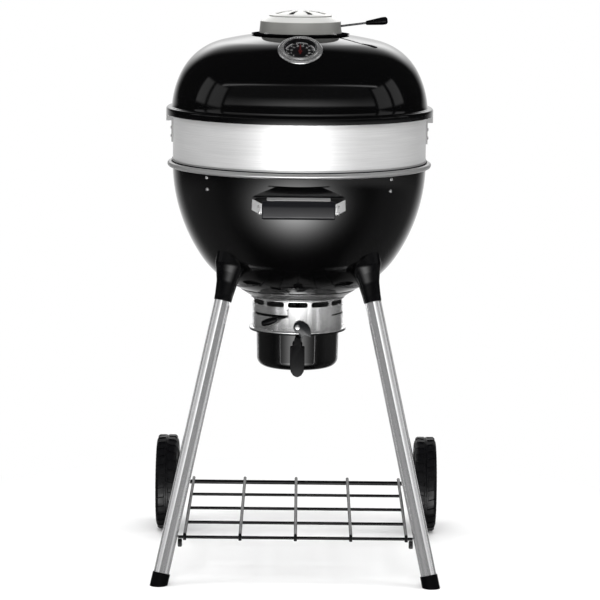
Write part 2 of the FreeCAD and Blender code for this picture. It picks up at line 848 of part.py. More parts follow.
def make_ash_latch():
    """The swinging cam that clips the ash bowl, with its grip and pivot screw."""
    back = -(ring_radius + size("vent_ring_flange")) - 1.2
    pivot = ring_low + 16
    hub = rod(11.0, (0, back, pivot), (0, back - 3, pivot))
    hook_disc = rod(30.0, (2, back, ring_low + 1), (2, back - 3, ring_low + 1))
    hook_hole = rod(13.0, (0, back + 1, ring_low - 2), (0, back - 4, ring_low - 2))
    hook_window = box((0, back - 5, ring_low - 2), (40, back + 2, ring_low + 60))
    hook = shared(without(hook_disc, hook_hole), hook_window)
    neck = plate([(0, 0), (7, 0), (9, 42), (0, 42)], 3.0, "XZ_Plane")
    place(neck, (0, back - 1.5, pivot - 44))
    eye = rod(3.1, (0, back + 2, pivot), (0, back - 6, pivot))
    node("latch_cam", without(fused([hub, hook, neck, mirrored(neck)]), eye))
    node("latch_pivot_screw", fused([
        rod(3.0, (0, -ring_radius + 2, pivot), (0, back - 3.5, pivot)),
        rod(5.5, (0, back - 3.3, pivot), (0, back - 6, pivot)),
        rod(5.5, (0, -ring_radius - 0.2, pivot), (0, back + 0.4, pivot)),
    ]))
    grip_top = pivot - 40
    slab = box((-16.5, back - 16, grip_top - 56), (16.5, back - 0.2, grip_top))
    end = rod(16.5, (0, back - 16, grip_top - 56), (0, back - 0.2, grip_top - 56))
    pocket = box((-9.2, back - 3.1, pivot - 45), (9.2, back + 0.1, pivot))
    node("latch_grip", without(fused([slab, end]), pocket))


# --------------------------------------------------------------------------- lid
hinge_y = radius + size("hinge_offset")
hinge_z = lid_seat - size("hinge_drop") - 0.3
gauge_tilt = size("gauge_tilt")
gauge_y = -size("gauge_distance")
gauge_z = lid_top - size("gauge_height_drop")


def gauge_part(radius_, low, high):
    """A disc or tube on the gauge's own axis, between two depths along it."""
    at = (0, gauge_y - as_size(low) * sine(gauge_tilt), gauge_z + as_size(low) * cosine(gauge_tilt))
    return cylinder(radius_, as_size(high) - low, at, (1, 0, 0), gauge_tilt)


def vent_holes(low, high):
    reach = size("vent_hole_circle")
    return [cylinder(size("vent_hole_radius"), high - low, around(azimuth, reach, low))
            for azimuth in (45.0, 135.0, 225.0, 315.0)]


def make_lid():
    inner_foot = lid_centre[0] + chord(lid_side - wall, as_size(16.0))
    outer_foot = lid_centre[0] + chord(lid_side, as_size(16.0))
    lip = lid_outer + size("lid_lip_width") - 0.2
    low = lid_seat - size("lid_lip_height")
    bend_radius = size("lid_lip_round")
    shelf = lid_seat + wall
    dome = turned([
        (inner_foot, lid_seat),
        (lip - wall, lid_seat),
        (lip - wall, low),
        (lip, low),
        (lip, shelf - bend_radius),
        (lip - bend_radius, shelf, bend_radius),
        (outer_foot + 1, shelf),
        (outer_foot, lid_base + 16),
        (lid_bend[0], lid_bend[1], lid_side),
        (crown_edge[0], crown_edge[1], shoulder),
        (0, lid_top, crown),
        (0, lid_top - wall),
        (crown_edge[0] - wall * cosine(crown_angle), crown_edge[1] - wall * sine(crown_angle),
         -(crown - wall)),
        (lid_bend[0] - wall * cosine(lid_angle), lid_bend[1] - wall * sine(lid_angle), -(shoulder - wall)),
        (inner_foot, lid_base + 16, -(lid_side - wall)),
    ])
    holes = vent_holes(lid_top - 30, lid_top + 5)
    bolt_hole = cylinder(4.2, 20, (0, 0, lid_top - 10))
    gauge_hole = gauge_part(size("gauge_case_radius") + 0.4, -45, 40)
    node("lid", without(dome, gathered(holes + [bolt_hole, gauge_hole])))


def make_lid_hinge():
    knuckle = size("hinge_knuckle_radius")
    pin = size("hinge_pin_radius")
    length = size("hinge_knuckle_length")
    gap = size("hinge_end_gap")
    half = length / 2 + 2
    outer_end = half + gap + length
    bore = rod(pin, (-outer_end - 5, hinge_y, hinge_z), (outer_end + 5, hinge_y, hinge_z))
    loose_bore = rod(pin + size("hinge_pin_play"),
                     (-outer_end - 5, hinge_y, hinge_z), (outer_end + 5, hinge_y, hinge_z))
    face = radius - 0.7
    back_plate = box((-32, face - 8, bowl_top + 14), (32, face + 5, hinge_z - 6))
    arm = box((-half, face - 8, hinge_z - 16), (half, hinge_y, hinge_z - 6))
    eye = rod(knuckle, (-half, hinge_y, hinge_z), (half, hinge_y, hinge_z))
    drum = cylinder(face, 200, (0, 0, bowl_top - 20))
    fixed = without(without(fused([back_plate, arm, eye]), drum), bore)
    node("hinge_base", fixed)
    node("hinge_pin", fused([
        rod(pin, (-outer_end - 2, hinge_y, hinge_z), (outer_end + 2, hinge_y, hinge_z)),
        rod(pin + 2, (outer_end + 0.6, hinge_y, hinge_z), (outer_end + 3, hinge_y, hinge_z)),
        rod(pin + 2, (-outer_end - 3, hinge_y, hinge_z), (-outer_end - 0.6, hinge_y, hinge_z)),
    ]))
    screws = []
    for x in (-22.0, 22.0):
        for rise in (24.0, 60.0):
            screws.append(rod(4.0, (x, face + 5.1, bowl_top + rise), (x, face + 7.5, bowl_top + rise)))
    node("hinge_base_screws", gathered(screws))
    arms = []
    for mark in (1, -1):
        near = half + gap
        profile = plate([
            (radius - 12, lid_seat + 5), (hinge_y - knuckle, lid_seat + 5), (hinge_y - knuckle, hinge_z),
            (hinge_y + knuckle, hinge_z), (hinge_y + knuckle, lid_seat + 16),
            (radius + 6, lid_seat + 44), (radius - 12, lid_seat + 44)], length, "YZ_Plane",
            (mark * (near + length / 2), 0, 0))
        eye_side = rod(knuckle, (mark * near, hinge_y, hinge_z), (mark * outer_end, hinge_y, hinge_z))
        arms += [profile, eye_side]
    bridge = box((-half - gap - 1, radius - 12, lid_seat + 20), (half + gap + 1, radius + 5, lid_seat + 44))
    node("lid_hinge_bracket", without(without(fused(arms + [bridge]), lid_form), loose_bore))
    node("lid_hinge_screws", gathered([
        rod(4.0, (x, radius + 5.1, lid_seat + 32), (x, radius + 7.3, lid_seat + 32)) for x in (-7.0, 7.0)]))


def crowned_disc(reach, low, high):
    """A disc that follows the lid's crown between two rises above it."""
    return turned([
        (0, lid_top + low),
        (reach, crown_height_at(reach, low), -(crown + low)),
        (reach, crown_height_at(reach, high)),
        (0, lid_top + high, crown + high),
    ])


def make_top_vent():
    gap = as_size(0.1)
    stack = size("vent_stack_gap")
    base = size("vent_plate_wall")
    plate_radius = size("vent_plate_radius")
    bolt_hole = cylinder(4.1, 30, (0, 0, lid_top - 10))
    holes = vent_holes(lid_top - 30, lid_top + 12)
    disc = crowned_disc(plate_radius, gap, gap + base)
    node("vent_base_plate", without(disc, gathered(holes + [bolt_hole])))
    damper_low = gap + base + stack
    leaf = crowned_disc(size("damper_radius"), damper_low, damper_low + 1.5)
    leaf_holes = vent_holes(lid_top - 30, lid_top + 12)
    leaf_bolt_hole = cylinder(4.1, 30, (0, 0, lid_top - 10))
    lug = box((52, -6, lid_top + 1), (64, 6, lid_top + 11.5))
    rod_start = (as_size(50.0), as_size(0.0), lid_top + 7.3)
    reach = size("lever_rod_reach")
    rise = size("lever_rise_angle")
    slope = sine(rise) / cosine(rise)
    rod_end = (reach, as_size(0.0), lid_top + 7.3 + (reach - 50) * slope)
    lever_bore = rod(size("lever_rod_radius") + 0.02, rod_start, rod_end)
    solid_leaf = without(leaf, gathered(leaf_holes + [leaf_bolt_hole]))
    node("vent_damper", without(fused([solid_leaf, lug]), lever_bore))
    node("vent_lever_rod", rod(size("lever_rod_radius"), rod_start, rod_end))
    grip_length = size("lever_grip_length")
    grip_radius = size("lever_grip_radius")
    body = turned([(0, 0), (4.6, 0), (grip_radius - 1, grip_length - 12), (grip_radius - 1, grip_length - 5),
                   (grip_radius - 5, grip_length), (0, grip_length)])
    place(body, (reach - 3, 0, lid_top + 7.3 + (reach - 53) * slope), (0, 1, 0), 90 - rise)
    node("vent_lever_grip", without(body, rod(size("lever_rod_radius"), rod_start, rod_end)))
    node("vent_pivot_bolt", fused([
        cylinder(4.0, 16, (0, 0, lid_top - 8)),
        cylinder(8.0, 5, (0, 0, lid_top + 4.2)),
        cylinder(7.5, 5, (0, 0, lid_top - 2.2 - 5)),
    ]))
    make_vent_cap(gap + base)


def make_vent_cap(rise):
    low_radius = size("vent_cap_radius")
    high_radius = size("vent_cap_top_radius")
    slope_radius = size("vent_cap_slope_radius")
    skin = as_size(1.5)
    low = crown_height_at(low_radius, rise) + 0.6
    high = low + size("vent_cap_wall_height")
    top = high + size("vent_cap_slope_height")
    crown_rise = size("vent_cap_crown_height")
    dome = (slope_radius * slope_radius + crown_rise * crown_rise) / (2 * crown_rise)
    shell = turned([
        (low_radius - skin, low),
        (low_radius, low),
        (high_radius, high),
        (slope_radius, top),
        (0, top + crown_rise, dome),
        (0, top + crown_rise - skin),
        (slope_radius - 0.6, top - skin, -(dome - skin)),
        (high_radius - skin, high - 1),
    ])
    tabs = []
    screws = []
    for azimuth in (40.0, 140.0, 220.0, 320.0):
        flat = box((low_radius - 1.5, -6, low), (low_radius + 11, 6, low + 1.5))
        tabs.append(turn_box(flat, azimuth))
        at = around(azimuth, low_radius + 6, low + 1.6)
        screws.append(cylinder(3.5, 2.0, at))
    louvres = []
    for step in range(8):
        slot = box((26, -4.5, high), (56, 4.5, top + 20))
        louvres.append(turn_box(slot, 22.5 + 45.0 * step))
    lever_slot = sector(low_radius + 4, 13.0, (0, 0, low + 6), -5.0, size("damper_travel") + 10)
    node("vent_cap", without(fused([shell] + tabs), gathered(louvres + [lever_slot])))
    node("vent_screws", gathered(screws))


def make_thermometer():
    outer = size("gauge_radius")
    case = size("gauge_case_radius")
    depth = size("gauge_case_depth")
    rim = size("gauge_rim_height")
    skirt = gauge_part(outer, -22, rim)
    raised = gauge_part(case + 4, rim - 1, rim + 3)
    bore = gauge_part(case + 0.2, -40, 40)
    node("thermometer_bezel", without(without(fused([skirt, raised]), bore), lid_form))
    cup = gauge_part(case, -depth, rim + 2.5)
    cup_hollow = gauge_part(case - 1.5, -depth + 2, rim + 10)
    probe = gauge_part(3.5, -depth - size("gauge_probe_length"), -depth + 1)
    nut = gauge_part(9.0, -depth - 8, -depth + 0.5)
    node("thermometer_case", fused([without(cup, cup_hollow), probe, nut]))
    spindle = gauge_part(1.5, -3.9, -0.2)
    face = gauge_part(case - 1.6, -4, -3)
    filler = gauge_part(case - 6, -depth + 2.1, -4)
    node("thermometer_dial", fused([face, filler, spindle]))
    node("thermometer_lens", gauge_part(case - 1.6, rim - 0.8, rim + 1.2))
    pointer = box((-2, -26, 0), (2, 26, 0.8))
    disc = cylinder(4.5, 1.4, (0, 0, -0.3))
    eye = cylinder(1.6, 6, (0, 0, -3))
    needle = without(fused([pointer, disc]), eye)
    at = (0, gauge_y + 1.7 * sine(gauge_tilt), gauge_z - 1.7 * cosine(gauge_tilt))
    node("thermometer_needle", place(needle, at, (1, 0, 0), gauge_tilt))


# --------------------------------------------------------------------------- stand
mount_angle = size("leg_mount_angle")
mount_reach = lower_centre[0] + lower * cosine(mount_angle)
mount_height = lower_centre[1] - lower * sine(mount_angle)
spread = size("leg_foot_spread")
half_root = math.sqrt(0.5)
leg_run = spread / half_root - mount_reach
leg_length = root(leg_run * leg_run + mount_height * mount_height)
leg_tilt = angle_of(leg_run, mount_height)
CORNERS = {"front_left": (-1, -1), "front_right": (1, -1), "rear_left": (-1, 1), "rear_right": (1, 1)}
axle_height = size("wheel_radius")


def along_leg(corner, distance):
    """The point on a leg's centre line at a distance up from the ground."""
    x, y = CORNERS[corner]
    share = as_size(distance) / leg_length
    inward = spread - leg_run * half_root * share
    return (x * inward, y * inward, mount_height * share)


def leg_axis(corner):
    x, y = CORNERS[corner]
    return (y * 1.0, -x * 1.0, 0)


def leg_cylinder(corner, radius_, start, length):
    return cylinder(radius_, length, along_leg(corner, start), leg_axis(corner), leg_tilt)


def leg_cone(corner, low_radius, high_radius, start, length):
    return cone(low_radius, high_radius, length, along_leg(corner, start), leg_axis(corner), leg_tilt)


def make_legs():
    outer = size("leg_radius")
    inner = outer - size("leg_wall")
    top = leg_length - 14
    axle_at = axle_height * leg_length / mount_height
    axle_bore = rod(size("axle_radius") + 0.1, (-400, axle_y(), axle_height), (400, axle_y(), axle_height))
    fronts = []
    rears = []
    for corner in ("front_left", "front_right"):
        foot = as_size(6.0)
        fronts.append(without(leg_cylinder(corner, outer, foot, top - foot),
                              leg_cylinder(corner, inner, foot - 5, top - foot + 20)))
    for corner in ("rear_left", "rear_right"):
        foot = axle_at - size("leg_below_axle")
        tube = without(leg_cylinder(corner, outer, foot, top - foot),
                       leg_cylinder(corner, inner, foot - 5, top - foot + 20))
        rears.append(without(tube, axle_bore))
    node("front_legs", gathered(fronts))
    node("rear_legs", gathered(rears))
    end = axle_at - size("leg_below_axle")
    plugs = [fused([leg_cylinder(corner, inner - 0.1, end - 0.5, 9.0),
                    leg_cylinder(corner, outer, end - 3, 2.9)])
             for corner in ("rear_left", "rear_right")]
    node("rear_leg_plugs", gathered(plugs))
    make_feet(outer)
    make_sockets(outer)


def axle_y():
    """Where the leg line stands above the axle."""
    return spread - leg_run * half_root * axle_height / mount_height


def make_feet(outer):
    feet = []
    cap_radius = size("foot_cap_radius")
    cap_height = size("foot_cap_height")
    for corner in ("front_left", "front_right"):
        block = leg_cylinder(corner, cap_radius, -20, cap_height + 20)
        ground = box((-500, -500, -100), (500, 500, 0))
        hollow = leg_cylinder(corner, outer + 0.05, 5.8, cap_height + 20)
        feet.append(without(without(block, ground), hollow))
    node("front_feet", gathered(feet))


def make_sockets(outer):
    sockets = []
    screws = []
    base = size("socket_radius")
    flare = size("socket_flare_radius")
    length = size("socket_length")
    for corner in CORNERS:
        start = leg_length - length
        sleeve = leg_cone(corner, base, base + 3.5, start, length * 0.5)
        horn = leg_cone(corner, base + 3.5, flare, start + length * 0.5, length * 0.5 + 4)
        head = leg_cone(corner, flare, flare + 3, leg_length + 4, as_size(40.0))
        hollow = leg_cylinder(corner, outer + 0.05, start - 5, length - 8.5)
        sockets.append(without(without(fused([sleeve, horn, head]), hollow), bowl_form))
        screws.append(without(leg_screw(corner, base, start + 16), sleeve))
    node("leg_sockets", gathered(sockets))
    node("socket_screws", gathered(screws))


def leg_screw(corner, base, distance):
    """A screw head on the inward side of a socket."""
    x, y = CORNERS[corner]
    centre = along_leg(corner, distance)
    inner = [centre[0] - x * half_root * (base + 1.2), centre[1] - y * half_root * (base + 1.2), centre[2]]
    outer = [centre[0] - x * half_root * (base + 3.6), centre[1] - y * half_root * (base + 3.6), centre[2]]
    return rod(4.0, inner, outer)


def make_wheels():
    outer = size("wheel_radius")
    width = size("wheel_width")
    face = size("wheel_inner_face")
    recess = size("wheel_recess")
    recess_radius = size("wheel_recess_radius")
    axle = size("axle_radius")
    play = size("axle_play")
    for name, mark in (("right", 1), ("left", -1)):
        tyre = turned([
            (recess_radius, 0), (outer - 10, 0), (outer, 8, 14), (outer, width - 8),
            (outer - 10, width, 14), (recess_radius, width)])
        hub = turned([
            (axle + play, recess), (24, recess), (24, recess + 6), (recess_radius - 8, recess + 6),
            (recess_radius - 8, 3), (recess_radius - 0.1, 3), (recess_radius - 0.1, width - 3),
            (recess_radius - 8, width - 3), (recess_radius - 8, recess + 12), (24, recess + 12),
            (24, width - 8), (axle + play, width - 8)])
        for label, body in (("tyre", tyre), ("wheel_hub", hub)):
            place(body, (mark * face, axle_y(), axle_height), (0, 1, 0), 90.0 * mark)
            node(f"{label}_{name}", body)
    end = face + width - 8
    node("axle", rod(axle, (-end - 6, axle_y(), axle_height), (end + 6, axle_y(), axle_height)))
    nuts = []
    for mark in (1, -1):
        nut = rod(11.0, (mark * (end + 0.4), axle_y(), axle_height),
                  (mark * (end + 7.5), axle_y(), axle_height))
        bore = rod(axle, (mark * (end - 1), axle_y(), axle_height),
                   (mark * (end + 6.01), axle_y(), axle_height))
        nuts.append(without(nut, bore))
    node("axle_nuts", gathered(nuts))


def make_shelf():
    """Long rods from the front bar back to the axle that they rest on, with cross rods below."""
    height = size("shelf_height")
    thick = size("shelf_rod_radius")
    leg_line = spread - leg_run * half_root * height / mount_height
    front = -leg_line
    rear = axle_y()
    front_top = height + 2 * thick
    rear_top = axle_height + size("axle_radius") + thick + 0.1
    half = leg_line - size("leg_radius") - 1.0
    spacing = size("shelf_rod_spacing")
    cross = []
    for step in range(4):
        y = front + (rear - front) * (step / 4)
        z = front_top + (rear_top - front_top) * (step / 4) - 2 * thick
        reach = half if step == 0 else 2 * spacing + thick
        cross.append(rod(thick, (-reach, y, z), (reach, y, z)))
    node("shelf_cross_rods", gathered(cross))
    nose = front - 2 * thick - 0.1
    longs = []
    for step in range(-2, 3):
        x = spacing * step
        run = rod(thick, (x, front, front_top), (x, rear + size("shelf_rear_overhang"), rear_top))
        lead = rod(thick, (x, nose, front_top), (x, front + 0.5, front_top))
        drop = rod(thick, (x, nose, front_top - 12), (x, nose, front_top))
        longs.append(fused([run, lead, ball(thick, (x, nose, front_top)), drop]))
    node("shelf_long_rods", gathered(longs))
    low = height - thick
    tab = box((half - 32, front - 4, low - 18), (half + 0.4, front - 1, low - 0.1))
    node("shelf_brackets", gathered([tab, mirrored(tab)]))
    bolt = rod(3.5, (half - 14, front - 4.1, low - 9), (half - 14, front - 6.5, low - 9))
    node("shelf_screws", gathered([bolt, mirrored(bolt)]))


# --------------------------------------------------------------------------- build and write
make_bowl()
make_rim_ring()
make_band()
make_grate_brackets(make_spit_brackets())
make_charcoal_grate()
make_cooking_grate()
make_front_handle()
make_collar()
make_vent_ring()
make_sweeper()
make_ash_bowl()
make_ash_latch()
make_lid()
make_lid_hinge()
make_top_vent()
make_thermometer()
make_legs()
make_wheels()
make_shelf()

rear_reach = axle_y() + size("wheel_radius")
front_reach = radius + size("grip_standoff")
nodes = []
for label, piece in FINISHED.items():
    part = place(gathered([piece]), (0, (front_reach - rear_reach) / 2, 0))
    part.Label = label
    nodes.append(part)

document.recompute()
for thing in document.Objects:
    if "Invalid" in thing.State or "Error" in thing.State:
        raise RuntimeError(f"{thing.Name} ({thing.Label}) failed: {thing.State}")
for part in nodes:
    if part.Shape.isNull() or not part.Shape.isValid() or not part.Shape.Solids:
        raise RuntimeError(f"{part.Label} has no valid solid")
os.makedirs("parts", exist_ok=True)
for part in nodes:
    part.Shape.exportStep(f"parts/{part.Label}.step")
    print(f"{part.Label:22s} {len(part.Shape.Solids):3d} solids {part.Shape.Volume / 1000:10.2f} cm3")
print(len(nodes), "nodes")
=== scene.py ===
"""Looks for the kettle charcoal grill. Shapes are in millimetres about the kettle's axis."""

import json
import math

import bmesh
import bpy
from mathutils import Matrix, Vector


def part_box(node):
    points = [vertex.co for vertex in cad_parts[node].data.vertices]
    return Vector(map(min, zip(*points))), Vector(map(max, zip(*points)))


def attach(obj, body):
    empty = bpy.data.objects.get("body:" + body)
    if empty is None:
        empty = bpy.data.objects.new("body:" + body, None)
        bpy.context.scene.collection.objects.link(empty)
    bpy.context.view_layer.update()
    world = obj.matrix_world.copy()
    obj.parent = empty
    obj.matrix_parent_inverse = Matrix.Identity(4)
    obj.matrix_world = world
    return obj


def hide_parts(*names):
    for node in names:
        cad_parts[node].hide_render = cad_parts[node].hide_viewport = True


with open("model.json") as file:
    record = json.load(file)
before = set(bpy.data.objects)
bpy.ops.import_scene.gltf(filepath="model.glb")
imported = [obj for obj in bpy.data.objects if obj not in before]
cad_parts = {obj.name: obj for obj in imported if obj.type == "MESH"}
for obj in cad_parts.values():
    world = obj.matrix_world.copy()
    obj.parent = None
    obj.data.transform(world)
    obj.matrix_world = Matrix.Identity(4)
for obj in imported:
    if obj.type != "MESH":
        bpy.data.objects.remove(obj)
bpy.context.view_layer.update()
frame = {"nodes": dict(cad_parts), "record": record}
MM = 0.001
ON_AXIS = 1e-4
SHARP_ABOVE = 33
bowl_low, bowl_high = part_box("bowl")
AXIS_Y = (bowl_low.y + bowl_high.y) / 2 / MM
SLOT_OF = {part["node"]: part["material_slot"] for part in frame["record"]["subparts"]}


# --------------------------------------------------------------------------- shapes
class Form:
    """Points and faces of a shape that is still being put together."""

    def __init__(self, points=(), faces=()):
        self.points = [Vector(point) for point in points]
        self.faces = [tuple(face) for face in faces]

    def __add__(self, other):
        start = len(self.points)
        shifted = [tuple(index + start for index in face) for face in other.faces]
        return Form(self.points + other.points, self.faces + shifted)

    def by(self, matrix):
        return Form([matrix @ point for point in self.points], self.faces)

    def at(self, x, y, z):
        return self.by(Matrix.Translation((x, y, z)))

    def turned(self, degrees, axis="Z"):
        return self.by(Matrix.Rotation(math.radians(degrees), 4, axis))

    def upright(self):
        """An outline drawn from the front: its height goes up, its thickness to the front."""
        return self.turned(90, "X")

    def sideways(self):
        """An outline drawn from the side: (back, up) with its thickness to the right."""
        return Form([(p.z, p.x, p.y) for p in self.points], self.faces)

    def mirrored(self):
        return self.by(Matrix.Scale(-1, 4, (1, 0, 0)))


def joined(forms):
    total = Form()
    for form in forms:
        start = len(total.points)
        total.points += form.points
        total.faces += [tuple(index + start for index in face) for face in form.faces]
    return total


def both_sides(form):
    return form + form.mirrored()


def cos(degrees):
    return math.cos(math.radians(degrees))


def sin(degrees):
    return math.sin(math.radians(degrees))


def on_circle(radius, turn, height):
    """A point about the vertical axis."""
    return radius * cos(turn), radius * sin(turn), height


def arc(centre, radius, start, end, steps=24):
    """Points of an arc in a section, from one angle to another."""
    turns = [start + (end - start) * step / steps for step in range(steps + 1)]
    return [(centre[0] + radius * cos(turn), centre[1] + radius * sin(turn)) for turn in turns]


def rounded(corners, radii, steps=6, closed=True):
    """A line whose corners are replaced by arcs; one radius, or a radius for each corner."""
    corners = [Vector(corner) for corner in corners]
    if not isinstance(radii, (list, tuple)):
        radii = [radii] * len(corners)
    line = []
    for index, (corner, radius) in enumerate(zip(corners, radii)):
        if radius <= 0 or (not closed and index in (0, len(corners) - 1)):
            line.append(corner)
            continue
        back = corners[index - 1] - corner
        ahead = corners[(index + 1) % len(corners)] - corner
        half = back.angle(ahead) / 2
        if half > math.radians(89):
            line.append(corner)
            continue
        reach = min(radius / math.tan(half), back.length * 0.48, ahead.length * 0.48)
        back.normalize()
        ahead.normalize()
        centre = corner + (back + ahead).normalized() * reach / math.cos(half)
        first = corner + back * reach - centre
        last = corner + ahead * reach - centre
        spread = first.angle(last)
        for step in range(steps + 1):
            share = step / steps
            blend = first * math.sin((1 - share) * spread) + last * math.sin(share * spread)
            line.append(centre + blend / math.sin(spread))
    return line


def lathe(profile, steps=160):
    """A profile of (radius, height) points turned about the vertical axis."""
    points, rings, faces = [], [], []
    for radius, height in profile:
        if radius < ON_AXIS:
            rings.append([len(points)] * steps)
            points.append((0, 0, height))
            continue
        rings.append([len(points) + step for step in range(steps)])
        for step in range(steps):
            turn = 360.0 * step / steps
            points.append(on_circle(radius, turn, height))
    for first, second in zip(rings, rings[1:] + rings[:1]):
        for step in range(steps):
            ahead = (step + 1) % steps
            face = [first[step], first[ahead], second[ahead], second[step]]
            unique = list(dict.fromkeys(face))
            if len(unique) > 2:
                faces.append(unique)
    return Form(points, faces)


def circle(radius, sides):
    turns = [360 * side / sides for side in range(sides)]
    return [(radius * cos(turn), radius * sin(turn)) for turn in turns]


def sector(far, near, first, last, steps):
    """The outline of a part of a flat ring."""
    turns = [first + (last - first) * step / steps for step in range(steps + 1)]
    outline = [(far * cos(turn), far * sin(turn)) for turn in turns]
    return outline + [(near * cos(turn), near * sin(turn)) for turn in turns[::-1]]


def sweep(path, section, closed=False):
    """A section of (side, up) points carried along a line of 3-D points."""
    path = [Vector(point) for point in path]
    count = len(path)
    tangents = []
    for index in range(count):
        before = path[index - 1] if closed or index else path[index]
        after = path[(index + 1) % count] if closed or index < count - 1 else path[index]
        tangents.append((after - before).normalized())
    side = tangents[0].cross(Vector((0, 0, 1)))
    if side.length < 0.1:
        side = tangents[0].cross(Vector((0, 1, 0)))
    side.normalize()
    points, faces = [], []
    for index in range(count):
        if index:
            side = tangents[index - 1].rotation_difference(tangents[index]) @ side
        up = side.cross(tangents[index]).normalized()
        points += [path[index] + side * a + up * b for a, b in section]
    size = len(section)
    for index in range(count if closed else count - 1):
        first, second = index * size, (index + 1) % count * size
        for step in range(size):
            ahead = (step + 1) % size
            faces.append((first + step, first + ahead, second + ahead, second + step))
    if not closed:
        faces.append(tuple(range(size)))
        faces.append(tuple(range((count - 1) * size, count * size)))
    return Form(points, faces)


def wire(path, radius, bend=0.0, sides=14, closed=False):
    """A round wire along a line, with its corners bent."""
    if bend:
        path = rounded(path, bend, 8, closed)
    return sweep(path, circle(radius, sides), closed=closed)


def cylinder(radius, low, high, steps):
    return lathe([(0, low), (radius, low), (radius, high), (0, high)], steps)


def slab(outline, low, high):
    """A flat outline made into a plate between two heights."""
    size = len(outline)
    points = [(x, y, low) for x, y in outline] + [(x, y, high) for x, y in outline]
    faces = [tuple(range(size)), tuple(range(size, 2 * size))]
    faces += [(step, (step + 1) % size, size + (step + 1) % size, size + step)
              for step in range(size)]
    return Form(points, faces)


def block(low, high):
    """A box between two corners."""
    corners = [(low[0], low[1]), (high[0], low[1]), (high[0], high[1]), (low[0], high[1])]
    return slab(corners, low[2], high[2])


def frame_of(origin, direction):
    """A matrix that takes the vertical axis to a direction through an origin."""
    return Matrix.Translation(origin) @ Vector(direction).to_track_quat("Z",
                                                                        "Y").to_matrix().to_4x4()


def screw_head(radius, height, at, direction, cross=True):
    """A domed screw head with a cross recess."""
    dome = [(0, 0), (radius, 0), (radius, height * 0.35)]
    dome += arc((radius * 0.55, height * 0.35), radius * 0.45, 10, 80, 4)
    dome += [(radius * 0.36, height * 0.92), (0, height * (0.55 if cross else 1.0))]
    return lathe(dome, 24).by(frame_of(at, direction))


# --------------------------------------------------------------------------- pieces
def piece_mesh(name, form, bevel=0.0, segments=2):
    """A mesh in metres from a form in millimetres, with bevelled edges and smooth shading."""
    mesh = bpy.data.meshes.new(name)
    moved = [(p.x * MM, (p.y + AXIS_Y) * MM, p.z * MM) for p in form.points]
    mesh.from_pydata(moved, [], form.faces)
    work = bmesh.new()
    work.from_mesh(mesh)
    bmesh.ops.remove_doubles(work, verts=work.verts, dist=1e-6)
    bmesh.ops.recalc_face_normals(work, faces=work.faces)
    if bevel:
        sharp = [e for e in work.edges if e.is_manifold and e.calc_face_angle() > math.radians(30)]
        bmesh.ops.bevel(work, geom=sharp, offset=bevel * MM, segments=segments, profile=0.5,
                        affect="EDGES", clamp_overlap=True)
    work.to_mesh(mesh)
    work.free()
    smooth(mesh)
    return mesh


def smooth(mesh):
    mesh.shade_smooth()
    mesh.set_sharp_from_angle(angle=math.radians(SHARP_ABOVE))


def cut_away(obj, forms):
    """Takes cutting shapes out of a piece."""
    cutter = bpy.data.objects.new("cutter", piece_mesh("cutter", joined(forms)))
    bpy.context.scene.collection.objects.link(cutter)
    modifier = obj.modifiers.new("cut", "BOOLEAN")
    modifier.operation = "DIFFERENCE"
    modifier.solver = "EXACT"
    modifier.use_self = True
    modifier.object = cutter
    graph = bpy.context.evaluated_depsgraph_get()
    mesh = bpy.data.meshes.new_from_object(obj.evaluated_get(graph))
    obj.modifiers.clear()
    obj.data = mesh
    bpy.data.objects.remove(cutter)
    smooth(mesh)


def add(name, form, slot, body, replaces=(), cutters=(), bevel=0.0, segments=2, finish=None):
    """A finished piece: its mesh, its finish, its body and the nodes it stands for."""
    if isinstance(form, list):
        form = joined(form)
    obj = bpy.data.objects.new(name, piece_mesh(name, form, bevel, segments))
    bpy.context.scene.collection.objects.link(obj)
    if cutters:
        cut_away(obj, cutters)
    obj.data.materials.clear()
    obj.data.materials.append(finish or LOOKS[slot])
    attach(obj, body)
    if replaces:
        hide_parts(*replaces)
    return obj


